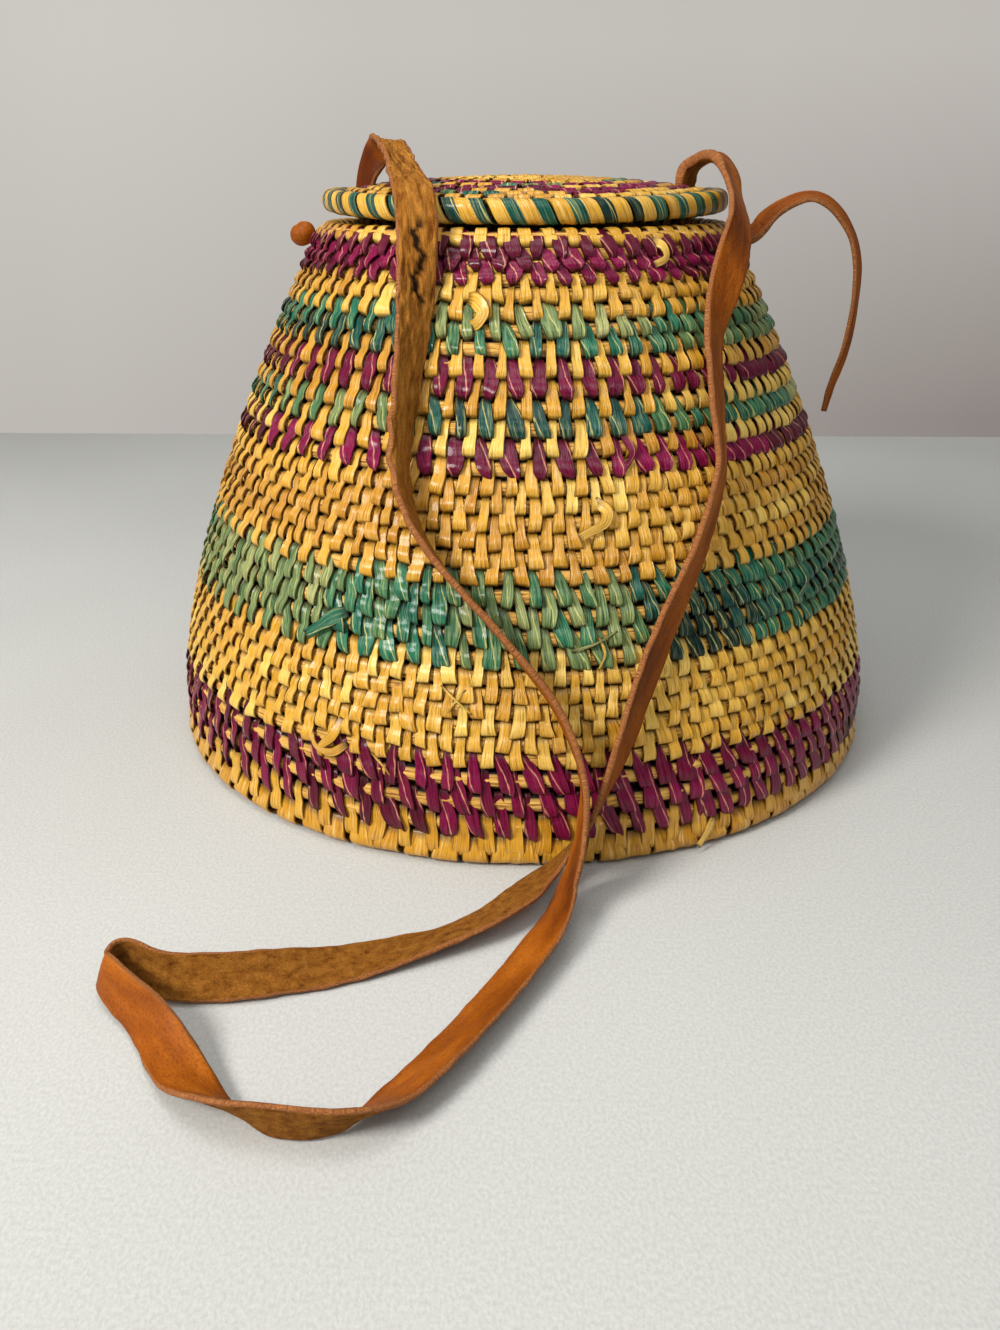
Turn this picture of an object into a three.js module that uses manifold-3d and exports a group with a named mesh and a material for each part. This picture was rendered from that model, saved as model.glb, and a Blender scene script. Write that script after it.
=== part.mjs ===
// Coiled straw basket purse with a lid and one long leather strap.
// Millimetres, Z up, the table at zero, the origin under the middle of the base.
// A grass bundle is coiled up from the base, and straw strips stitch each course to the one
// below. Dyed strips make the bands. The lid is coiled the same way and slides up the strap,
// whose two ends pass down through it and out through the wall under the rim.

import * as THREE from 'three';
import { mergeVertices } from 'three/addons/utils/BufferGeometryUtils.js';
import Module from 'manifold-3d';

const wasm = await Module();
wasm.setup();

// Body
const bodyHeight = 160.7;
const mouthRadius = 62.2;
const bellyRadius = 115.5;
const bellyHeight = 18;
const flarePower = 1.42;
const footTaper = 0.7;
const footRadius = bellyRadius - footTaper;
const footRound = 4;
const footLift = 0.6;
const wallThickness = 5.4;
const stitchDepth = 1.2;
const ribDepth = 0.8;

// Base
const baseThickness = 5.2;

// Rim
const rimWidth = 5.6;
const rimRound = 1.6;

// Lid
const lidRadius = 61.6;
const lidEdgeWidth = 6.6;
const lidEdgeHeight = 6.7;
const lidEdgeRound = 1.6;
const lidDome = 3.1;
const lidCoilThickness = 4.2;
const lidStitchDepth = 1.2;
const lidCourse = 4.6;
const lidRibDepth = 0.6;
const lidCentreRadius = 18;
const lidMagentaRadius = 36;
const lidTiltDegrees = 2;

// Leather
const strapWidth = 11;
const strapThickness = 1.7;
const strapEdgeCut = 0.45;
const strapRadius = 49;
const slotTurnDegrees = 30;
const slotClearance = 0.5;
const threadWidth = 6;
const threadTurn = 5;
const threadClearance = 0.5;
const knotRadius = 3.5;
const knotLength = 7.6;
const knotGroove = 0.8;
const knotEndRadius = 1.8;
const tailWidth = 8.5;
const tailTipWidth = 2.4;
const tailTipThickness = 1.2;

// Fit
const gap = 0.3;
const overrun = 2;

// Facets
const turnFacets = 32;
const knotFacets = 12;
const turnSteps = 5;
const stepsPerSpan = 2;

// The bands of straw from the mouth down: how many courses, and the share of the wall's line
// at which each band ends. The rim is the first.
const rimFootShare = 0.0269;
const bandShares = [
  ['collar_magenta_straw', 'magenta', 3, 0.087],
  ['shoulder_natural_straw', 'natural', 2, 0.142],
  ['upper_green_straw', 'green', 2, 0.198],
  ['stripe_natural_straw_1', 'natural', 1, 0.23],
  ['stripe_magenta_straw_1', 'magenta', 1, 0.26],
  ['stripe_natural_straw_2', 'natural', 1, 0.29],
  ['stripe_green_straw', 'green', 1, 0.32],
  ['stripe_natural_straw_3', 'natural', 1, 0.35],
  ['stripe_magenta_straw_2', 'magenta', 1, 0.38],
  ['waist_natural_straw', 'natural', 6, 0.54],
  ['belt_green_straw', 'green', 4, 0.666],
  ['lower_natural_straw', 'natural', 6, 0.819],
  ['hem_magenta_straw', 'magenta', 3, 0.921],
  ['foot_natural_straw', 'natural', 2, 1],
];
const threadShare = 0.037;

const finishes = {
  grass: { color: 0xb98a45, roughness: 0.85, metalness: 0 },
  natural: { color: 0xdcaa55, roughness: 0.5, metalness: 0 },
  magenta: { color: 0x781450, roughness: 0.5, metalness: 0 },
  green: { color: 0x2d826e, roughness: 0.5, metalness: 0 },
  leather: { color: 0xb5622a, roughness: 0.55, metalness: 0 },
};

// The free stretch of the strap, from inside the left slot to inside the right one.
// Each row is a place, then the way that the grain side faces there.
const strapRoute = [
  [-49, 0, 166.6, -0.85, -0.5, 0],
  [-49, 0, 171.5, -0.85, -0.5, 0],
  [-47.6, -0.8, 176.6, -0.8, -0.55, -0.05],
  [-45.3, -3.4, 180.7, -0.7, -0.55, -0.45],
  [-41.5, -9.5, 182.9, -0.2, -0.1, -0.95],
  [-38.5, -18, 180, -0.25, 0.2, -0.95],
  [-34.2, -32, 175, -0.3, 0.3, -0.9],
  [-28.8, -59, 168.6, -0.15, 0.55, -0.8],
  [-27.6, -66.5, 159.7, -0.25, 0.85, -0.45],
  [-28.3, -73.5, 141.4, -0.65, 0.7, -0.25],
  [-30.1, -82.6, 123.6, -0.85, 0.5, -0.15],
  [-31.5, -89.3, 108.3, -0.95, 0.3, -0.15],
  [-30.1, -95.1, 96.8, -0.95, 0.1, -0.35],
  [-23.8, -101.4, 85.2, -0.85, -0.15, -0.5],
  [-5, -111, 65.6, -0.75, -0.25, -0.55],
  [9.2, -116.6, 48.3, -0.85, -0.25, -0.4],
  [16, -122.9, 32.2, -1, -0.05, -0.1],
  [16.1, -127.6, 23.6, -1, -0.05, 0.1],
  [14.9, -132.6, 16.9, -0.95, -0.05, 0.25],
  [11.9, -136.2, 7.4, -0.85, -0.1, 0.5],
  [5.3, -153.6, 4.6, -0.4, 0.05, 0.9],
  [-23.6, -203.6, 4.3, -0.3, 0.3, 0.9],
  [-32.6, -212.4, 5.6, -0.2, 0.85, 0.5],
  [-47, -213.4, 6.1, 0.15, 0.95, 0.25],
  [-60, -207.8, 5.4, 0.3, 0.6, 0.75],
  [-68.2, -199.2, 3.6, 0, 0, 1],
  [-80, -184.4, 5.4, -0.5, -0.6, 0.65],
  [-90.4, -175, 7.2, -0.65, -0.65, 0.4],
  [-94, -170.4, 8.2, -0.95, -0.1, 0.35],
  [-90.8, -166.9, 8.9, 0, 0.95, 0.2],
  [-82, -170.4, 9.2, 0.3, 1, 0.05],
  [-60, -170.2, 8, -0.3, 0.95, 0.05],
  [-24, -155.8, 6.2, -0.45, 0.9, 0],
  [-1.9, -136.8, 5.8, -0.15, 0.05, -1],
  [5.6, -127.3, 5, 0.4, -0.2, -0.9],
  [11.4, -121.7, 7.3, 0.7, -0.25, -0.7],
  [16.8, -120.6, 14, 0.85, -0.25, -0.5],
  [20.1, -119.8, 20.8, 0.9, -0.3, -0.35],
  [23.3, -118, 28.8, 0.9, -0.4, -0.25],
  [27.8, -113.8, 40.6, 0.85, -0.55, -0.1],
  [35.6, -105, 61.4, 0.8, -0.6, -0.05],
  [46.8, -91.8, 84.5, 0.9, -0.45, -0.1],
  [52.2, -80.8, 101.5, 0.95, -0.3, 0.05],
  [51.3, -72, 118.2, 0.9, -0.35, 0.2],
  [51, -62, 135, 0.85, -0.5, 0.2],
  [55.4, -52, 149, 0.55, -0.7, 0.45],
  [60.2, -36, 161.1, 0.8, -0.4, 0.45],
  [59.7, -19, 171.4, 0.8, -0.2, 0.55],
  [58.2, -9, 176.6, 0.55, -0.05, 0.85],
  [54.4, -2.5, 178.1, -0.2, 0.1, 1],
  [50.2, 0.2, 175.5, -0.7, 0.4, 0.55],
  [49, 0, 171.5, -0.85, 0.5, 0],
  [49, 0, 166.6, -0.85, 0.5, 0],
];

// The loose tail beyond the right knot, which stands out stiffly and hangs beside the wall.
const tailRoute = [
  [73, 0, 159, -0.75, -0.35, 0.55],
  [74.5, 0, 161.1, -0.7, -0.35, 0.6],
  [78.8, 0, 164.4, -0.5, -0.3, 0.85],
  [86.8, 0, 167.2, 0, -0.25, 0.95],
  [92.1, 0, 166, 0.4, -0.4, 0.85],
  [96.9, 0, 162.1, 0.65, -0.45, 0.6],
  [101.4, 0, 155.9, 0.8, -0.45, 0.4],
  [103.8, 0, 148.1, 0.85, -0.5, 0.15],
  [104.5, 0, 139.5, 0.85, -0.5, 0.05],
  [104.2, 0, 129.9, 0.8, -0.6, -0.05],
  [102.8, 0, 120.2, 0.65, -0.75, -0.15],
  [100.2, 0, 111.1, 0.4, -0.9, -0.1],
  [98.4, 0, 102.1, 0.6, -0.8, -0.1],
];

// The flare of the wall from the mouth out to the belly, as a radius and a height.
class FlareLine extends THREE.Curve {
  getPoint(t, target = new THREE.Vector2()) {
    const spread = 1 - (1 - t) ** flarePower;
    return target.set(
      THREE.MathUtils.lerp(mouthRadius, bellyRadius, spread),
      THREE.MathUtils.lerp(bodyHeight, bellyHeight, t),
    );
  }
}

// The outside of the wall as one line: the flare, a nearly upright side and a rounded foot.
const roundCentre = new THREE.Vector2(footRadius - footRound, footLift + footRound);
const wallLine = new THREE.CurvePath();
wallLine.add(new FlareLine());
wallLine.add(new THREE.LineCurve(
  new THREE.Vector2(bellyRadius, bellyHeight),
  new THREE.Vector2(footRadius, roundCentre.y),
));
wallLine.add(new THREE.EllipseCurve(
  roundCentre.x, roundCentre.y, footRound, footRound, 0, -Math.PI / 2, true,
));
const wallLength = wallLine.getLength();
const roundShare = 1 - (footRound * Math.PI) / 2 / wallLength;

// A point at a share of the wall's line, sunk into the wall by a depth.
function wallPoint(share, depth) {
  const point = wallLine.getPoint(share);
  const along = wallLine.getTangent(share);
  return new THREE.Vector2(point.x + along.y * depth, point.y - along.x * depth);
}

// The merged closed mesh of a geometry, with its faces pointing out.
function closedMesh(geometry) {
  const bare = geometry.clone();
  bare.deleteAttribute('normal');
  bare.deleteAttribute('uv');
  const merged = mergeVertices(bare);
  const places = merged.attributes.position;
  const corners = [new THREE.Vector3(), new THREE.Vector3(), new THREE.Vector3()];
  const order = [];
  let volume = 0;
  for (let i = 0; i < merged.index.count; i += 3) {
    const triangle = [0, 1, 2].map((k) => merged.index.getX(i + k));
    if (new Set(triangle).size < triangle.length) continue;
    order.push(...triangle);
    corners.forEach((corner, k) => corner.fromBufferAttribute(places, triangle[k]));
    volume += corners[0].dot(corners[1].cross(corners[2]));
  }
  if (volume < 0) order.reverse();
  merged.setIndex(order);
  return merged;
}

// An outline of radius and height turned about Z. It starts and ends on the axis, or it is
// closed on itself here.
function turned(outline, facets = turnFacets) {
  const profile = outline[0].x > 0 ? [...outline, outline[0].clone()] : outline;
  const geometry = new THREE.LatheGeometry(profile, facets);
  geometry.rotateX(Math.PI / 2);
  return closedMesh(geometry);
}

function toManifold(geometry) {
  return new wasm.Manifold(new wasm.Mesh({
    numProp: 3,
    vertProperties: Float32Array.from(geometry.attributes.position.array),
    triVerts: Uint32Array.from(geometry.index.array),
  }));
}

function cutAway(geometry, cutters) {
  let solid = toManifold(geometry);
  for (const cutter of cutters) solid = solid.subtract(toManifold(cutter));
  const mesh = solid.getMesh();
  const cut = new THREE.BufferGeometry();
  cut.setAttribute('position', new THREE.BufferAttribute(mesh.vertProperties, 3));
  cut.setIndex(Array.from(mesh.triVerts));
  return cut;
}

// One band of stitching: a bulge over each course outside, smooth against the coil inside.
function stitchedBand(headShare, footShare, courses) {
  const halfGapShare = gap / 2 / wallLength;
  const top = headShare + halfGapShare;
  const lowest = footShare === 1;
  const bottom = lowest ? 1 : footShare - halfGapShare;
  const outline = [wallPoint(top, ribDepth)];
  for (let course = 1; course <= courses; course += 1) {
    const depth = lowest && course === courses ? 0 : ribDepth;
    outline.push(wallPoint(THREE.MathUtils.lerp(top, bottom, (course - 0.5) / courses), 0));
    outline.push(wallPoint(THREE.MathUtils.lerp(top, bottom, course / courses), depth));
  }
  outline.push(wallPoint(bottom, stitchDepth));
  if (lowest) outline.push(wallPoint(roundShare, stitchDepth));
  outline.push(wallPoint(top, stitchDepth));
  return turned(outline);
}

// The coiled grass bundle of the wall, from under the rim to the foot.
function wallCoil() {
  const top = rimFootShare + gap / wallLength;
  const edges = [top, ...bandShares.map(([, , , share]) => share)];
  const outside = [...edges.slice(0, -1), roundShare, 1];
  return turned([
    ...outside.map((share) => wallPoint(share, stitchDepth + gap)),
    ...edges.map((share) => wallPoint(share, wallThickness)).reverse(),
  ]);
}

// The topmost course, bound over with straw, round outside and flat on top where the lid sits.
function rimBinding() {
  const foot = rimFootShare - gap / 2 / wallLength;
  const inner = mouthRadius - rimWidth;
  return turned([
    wallPoint(foot, ribDepth),
    wallPoint(foot / 2, 0),
    new THREE.Vector2(mouthRadius - rimRound / 4, bodyHeight - rimRound / 2),
    new THREE.Vector2(mouthRadius - rimRound, bodyHeight),
    new THREE.Vector2(inner + rimRound, bodyHeight),
    new THREE.Vector2(inner + rimRound / 4, bodyHeight - rimRound / 2),
    new THREE.Vector2(inner, bodyHeight - rimRound),
    wallPoint(foot, wallThickness),
  ]);
}

// The flat coil that closes the bottom and stands on the table.
function baseCoil() {
  const radius = roundCentre.x - gap;
  return turned([
    new THREE.Vector2(0, 0),
    new THREE.Vector2(radius / 2, 0),
    new THREE.Vector2(radius, 0),
    new THREE.Vector2(radius, baseThickness),
    new THREE.Vector2(radius / 2, baseThickness),
    new THREE.Vector2(0, baseThickness),
  ]);
}

// The lid is flat under its edge, and its crown rises from the edge to the middle.
const lidBottom = bodyHeight + gap;
const lidTop = lidBottom + lidEdgeHeight;
const lidInnerRadius = lidRadius - lidEdgeWidth;
const lidCoilRadius = lidInnerRadius - gap;
function lidCrown(radius) {
  return lidTop - lidEdgeRound / 2 + lidDome * (1 - (radius / lidCoilRadius) ** 2);
}

function lidEdgeBinding() {
  const inner = lidInnerRadius;
  return turned([
    new THREE.Vector2(inner + lidEdgeRound, lidBottom),
    new THREE.Vector2(lidRadius - lidEdgeRound, lidBottom),
    new THREE.Vector2(lidRadius, lidBottom + lidEdgeRound),
    new THREE.Vector2(lidRadius, lidTop - lidEdgeRound),
    new THREE.Vector2(lidRadius - lidEdgeRound, lidTop),
    new THREE.Vector2(inner + lidEdgeRound, lidTop),
    new THREE.Vector2(inner, lidTop - lidEdgeRound),
    new THREE.Vector2(inner, lidBottom + lidEdgeRound),
  ]);
}

// The two slots through the lid, each turned a little from the line of its coils.
const slotTurn = THREE.MathUtils.degToRad(slotTurnDegrees);
function lidSlots() {
  const wide = strapWidth + 2 * slotClearance;
  const thick = strapThickness + 2 * slotClearance;
  const tall = lidEdgeHeight + lidDome + 2 * overrun;
  return [-1, 1].map((side) => {
    const box = new THREE.BoxGeometry(thick, wide, tall);
    box.rotateZ(-side * slotTurn);
    box.translate(side * strapRadius, 0, lidBottom - overrun + tall / 2);
    return closedMesh(box);
  });
}

// The coiled grass disc of the lid, crowned like the stitching above it.
function lidCoil() {
  const radiusShares = [0, 0.35, 0.65, 0.85, 1];
  const rows = radiusShares.map((share) => {
    const radius = lidCoilRadius * share;
    return new THREE.Vector2(radius, lidCrown(radius) - lidStitchDepth - gap);
  });
  const under = rows.map((row) => new THREE.Vector2(row.x, row.y - lidCoilThickness));
  return cutAway(turned([...under, ...rows.reverse()]), lidSlots());
}

// Stitching over the lid between two radii, with a bulge over each course.
function lidStitching(innerRadius, outerRadius) {
  const span = outerRadius - innerRadius;
  const courses = Math.max(1, Math.round(span / lidCourse));
  const top = [];
  for (let course = 0; course <= courses; course += 1) {
    const edge = innerRadius + (span * course) / courses;
    top.push(new THREE.Vector2(edge, lidCrown(edge) - (edge > 0 ? lidRibDepth : 0)));
    if (course < courses) {
      const middle = edge + span / courses / 2;
      top.push(new THREE.Vector2(middle, lidCrown(middle)));
    }
  }
  const under = [outerRadius, (innerRadius + outerRadius) / 2, innerRadius].map(
    (radius) => new THREE.Vector2(radius, lidCrown(radius) - lidStitchDepth),
  );
  return turned([...top, ...under]);
}

// The lid rests on the rim at the front, and its back stands a little higher.
function tippedLid(geometry) {
  geometry.translate(0, lidRadius, -lidBottom);
  geometry.rotateX(THREE.MathUtils.degToRad(lidTiltDegrees));
  geometry.translate(0, -lidRadius, lidBottom);
  return geometry;
}

// The middle line of a strip of leather. Its grain side faces the way that each row says, and
// the shares narrow and thin it along its length.
class LeatherLine extends THREE.Curve {
  constructor(route, widthShareAt = () => 1, thicknessShareAt = () => 1) {
    super();
    const places = route.map(([x, y, z]) => new THREE.Vector3(x, y, z));
    const facings = route.map(([, , , x, y, z]) => new THREE.Vector3(x, y, z));
    this.line = new THREE.CatmullRomCurve3(places);
    this.facing = new THREE.CatmullRomCurve3(facings, false, 'catmullrom');
    this.widthShareAt = widthShareAt;
    this.thicknessShareAt = thicknessShareAt;
    this.steps = (route.length - 1) * stepsPerSpan;
  }

  getPoint(t, target) {
    return this.line.getPoint(t, target);
  }

  getSpacedPoints(steps) {
    return this.line.getPoints(steps);
  }

  computeFrenetFrames(steps) {
    const frames = { tangents: [], normals: [], binormals: [] };
    for (let step = 0; step <= steps; step += 1) {
      const t = step / steps;
      const along = this.line.getTangent(t);
      const across = new THREE.Vector3().crossVectors(along, this.facing.getPoint(t)).normalize();
      const grain = new THREE.Vector3().crossVectors(across, along);
      frames.tangents.push(along);
      frames.normals.push(across.multiplyScalar(this.widthShareAt(t)));
      frames.binormals.push(grain.multiplyScalar(this.thicknessShareAt(t)));
    }
    return frames;
  }
}

// A flat strip of leather with its edges eased, drawn along its line.
function leatherStrip(line, width, thickness) {
  const side = width / 2;
  const face = thickness / 2;
  const cut = strapEdgeCut;
  const section = new THREE.Shape([
    new THREE.Vector2(side - cut, face),
    new THREE.Vector2(cut - side, face),
    new THREE.Vector2(-side, face - cut),
    new THREE.Vector2(-side, cut - face),
    new THREE.Vector2(cut - side, -face),
    new THREE.Vector2(side - cut, -face),
    new THREE.Vector2(side, cut - face),
    new THREE.Vector2(side, face - cut),
  ]);
  return closedMesh(new THREE.ExtrudeGeometry(section, { steps: line.steps, extrudePath: line }));
}

// Where a strap end comes out through the wall, and the way out of the wall there.
const threadFace = wallPoint(threadShare, 0);
const threadBack = wallPoint(threadShare, wallThickness);
const threadOut = threadFace.clone().sub(threadBack).normalize();
const threadAngle = threadOut.angle();

// Moves a shape made on the X axis, outward from zero, to the hole on one side of the wall.
function seatAtThread(geometry, side) {
  geometry.rotateY(-threadAngle);
  geometry.translate(threadFace.x, 0, threadFace.y);
  if (side < 0) geometry.rotateZ(Math.PI);
  return geometry;
}

// The hole that a strap end is threaded through, square to the wall.
function threadHole(side) {
  const length = wallThickness + 2 * overrun;
  const box = new THREE.BoxGeometry(
    length, threadWidth + 2 * threadClearance, strapThickness + 2 * threadClearance,
  );
  box.translate(overrun - length / 2, 0, 0);
  return closedMesh(seatAtThread(box, side));
}

// A strap end inside the basket: down from the lid's slot, round a turn, and out to the hole.
function strapEnd(side) {
  const top = strapRoute[0][2] - gap;
  const turnX = strapRadius + threadTurn;
  const leaveX = turnX + threadTurn * Math.sin(threadAngle);
  const leaveZ = threadBack.y - (threadBack.x - leaveX) * Math.tan(threadAngle);
  const turnZ = leaveZ + threadTurn * Math.cos(threadAngle);
  const rows = [top, lidBottom].map(
    (z) => [side * strapRadius, 0, z, -side * Math.cos(slotTurn), Math.sin(slotTurn), 0],
  );
  const straightRows = rows.length;
  for (let step = 0; step <= turnSteps; step += 1) {
    const angle = THREE.MathUtils.lerp(-Math.PI / 2, threadAngle, step / turnSteps);
    rows.push([
      side * (turnX + threadTurn * Math.sin(angle)), 0, turnZ - threadTurn * Math.cos(angle),
      side * Math.sin(angle), 0, -Math.cos(angle),
    ]);
  }
  for (const place of [threadBack, threadFace]) {
    rows.push([
      side * place.x, 0, place.y, side * Math.sin(threadAngle), 0, -Math.cos(threadAngle),
    ]);
  }
  const narrowShare = threadWidth / strapWidth;
  const widthShareAt = (t) => {
    const roundTurn = (t * (rows.length - 1) - straightRows) / turnSteps;
    return THREE.MathUtils.lerp(1, narrowShare, THREE.MathUtils.clamp(roundTurn, 0, 1));
  };
  return leatherStrip(new LeatherLine(rows, widthShareAt), strapWidth, strapThickness);
}

// The knot that stops a strap end outside the wall: two turns of leather drawn tight.
function strapKnot(side) {
  const turn = knotLength / 2;
  const neck = knotRadius - knotGroove;
  const knot = turned([
    new THREE.Vector2(0, 0),
    new THREE.Vector2(knotEndRadius, 0),
    new THREE.Vector2(neck, turn / 6),
    new THREE.Vector2(knotRadius, turn / 2),
    new THREE.Vector2(neck, turn),
    new THREE.Vector2(knotRadius, (turn * 3) / 2),
    new THREE.Vector2(neck, knotLength - turn / 6),
    new THREE.Vector2(knotEndRadius, knotLength),
    new THREE.Vector2(0, knotLength),
  ], knotFacets);
  knot.rotateY(Math.PI / 2);
  knot.translate(gap, 0, 0);
  return seatAtThread(knot, side);
}

const basket = new THREE.Group();

function addPiece(name, geometry, finish) {
  const mesh = new THREE.Mesh(geometry, new THREE.MeshStandardMaterial(finishes[finish]));
  mesh.name = name;
  basket.add(mesh);
}

const holes = [threadHole(-1), threadHole(1)];
addPiece('base_coil', baseCoil(), 'grass');
addPiece('wall_coil', cutAway(wallCoil(), holes), 'grass');
addPiece('rim_binding', rimBinding(), 'natural');
let headShare = rimFootShare;
for (const [name, straw, courses, footShare] of bandShares) {
  const band = stitchedBand(headShare, footShare, courses);
  const holed = headShare < threadShare && threadShare < footShare;
  addPiece(name, holed ? cutAway(band, holes) : band, straw);
  headShare = footShare;
}

const lidMagenta = lidStitching(lidCentreRadius, lidMagentaRadius - gap);
const lidOuter = cutAway(lidStitching(lidMagentaRadius, lidCoilRadius), lidSlots());
addPiece('lid_coil', tippedLid(lidCoil()), 'grass');
addPiece('lid_edge_binding', tippedLid(lidEdgeBinding()), 'green');
addPiece('lid_centre_straw', tippedLid(lidStitching(0, lidCentreRadius - gap)), 'natural');
addPiece('lid_magenta_straw', tippedLid(lidMagenta), 'magenta');
addPiece('lid_outer_straw', tippedLid(lidOuter), 'natural');

addPiece('leather_strap', leatherStrip(new LeatherLine(strapRoute), strapWidth, strapThickness),
  'leather');
const tailLine = new LeatherLine(
  tailRoute,
  (t) => THREE.MathUtils.lerp(1, tailTipWidth / tailWidth, t),
  (t) => THREE.MathUtils.lerp(1, tailTipThickness / strapThickness, t),
);
addPiece('strap_tail', leatherStrip(tailLine, tailWidth, strapThickness), 'leather');
for (const [place, side] of [['left', -1], ['right', 1]]) {
  addPiece(`strap_end_${place}`, strapEnd(side), 'leather');
  addPiece(`strap_knot_${place}`, strapKnot(side), 'leather');
}

export default basket;
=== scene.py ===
"""A lidded purse of coiled grass and stitched straw, with a long flat leather strap.

Metres, Z up, in the frame of the CAD model. Sizes are in millimetres, and MM makes them metres.
"""

import bisect
import math
import random

import bmesh
import bpy
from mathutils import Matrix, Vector, noise


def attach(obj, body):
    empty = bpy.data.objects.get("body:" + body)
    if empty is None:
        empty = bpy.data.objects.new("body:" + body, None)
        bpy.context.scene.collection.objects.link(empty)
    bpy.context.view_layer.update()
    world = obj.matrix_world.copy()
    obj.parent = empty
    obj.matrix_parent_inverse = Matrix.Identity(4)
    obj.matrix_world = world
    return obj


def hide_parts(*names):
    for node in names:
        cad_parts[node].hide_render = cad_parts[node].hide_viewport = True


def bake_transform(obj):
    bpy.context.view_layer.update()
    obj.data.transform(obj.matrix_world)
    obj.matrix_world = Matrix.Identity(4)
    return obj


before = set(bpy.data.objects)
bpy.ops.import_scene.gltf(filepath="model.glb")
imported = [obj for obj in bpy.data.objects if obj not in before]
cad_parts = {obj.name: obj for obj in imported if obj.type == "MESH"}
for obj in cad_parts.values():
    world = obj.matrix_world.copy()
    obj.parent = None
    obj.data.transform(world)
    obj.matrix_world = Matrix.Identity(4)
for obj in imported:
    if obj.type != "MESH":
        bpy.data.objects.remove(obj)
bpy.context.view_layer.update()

MM = 0.001
TURN = 2 * math.pi

# The body's wall, from the mouth down
BODY_HEIGHT = 160.7
MOUTH_RADIUS = 62.2
BELLY_RADIUS = 115.5
BELLY_HEIGHT = 18
FLARE_POWER = 1.42
WALL_STEPS = 240
FOOT_RADIUS = 115.5
FOOT_ROUND = 2.2
FOOT_LIFT = 0.9
FOOT_INSET = 2
WALL_THICKNESS = 5.4

# The rim's rounded section, and how far down the wall's line it ends
RIM_WIDTH = 5.6
RIM_HALF_HEIGHT = 3.1
RIM_MIDDLE_DEPTH = 3.4
RIM_SQUARENESS = 2.6
RIM_END = 2.2

# The holes under the rim that the strap comes out through
HOLE_HALF_WIDTH = 3.6
HOLE_COURSES = (2, 3, 4)

# The lid
LID_BOTTOM = 161
LID_RADIUS = 61.6
LID_EDGE_WIDTH = 6.6
LID_EDGE_HEIGHT = 6.7
LID_EDGE_SQUARENESS = 2.4
LID_EDGE_PAIRS = 45
LID_COIL_RADIUS = 54.7
LID_CROWN = 166.9
LID_DOME = 4.9
LID_BOW = 1.6
LID_BACK_RISE = 1.1
LID_COURSE = 4.6
LID_STITCH_PITCH = 6.2
LID_CENTRE_RADIUS = 27.6
LID_DYED_RADIUS = 50.2
SLOT_RADIUS = 49
SLOT_TURN = math.radians(30)
SLOT_HALF_HEIGHT = 1.5
SLOT_SPARE = 0.8

# The leather
STRAP_WIDTH = 11
STRAP_THICKNESS = 1.7
TAIL_WIDTH = 8.5
TAIL_TIP_WIDTH = 2.4
TAIL_TIP_THICKNESS = 1.2

# The crack in the strap's flesh side, darkened with painted shade: from and to along it, and how
# far aside
CRACK_START = 82
CRACK_END = 108
CRACK_MIDDLE = 0.05

# How far along the strap its left run, in the shade of the arch, is darkened
DARK_LEG = 17

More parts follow.
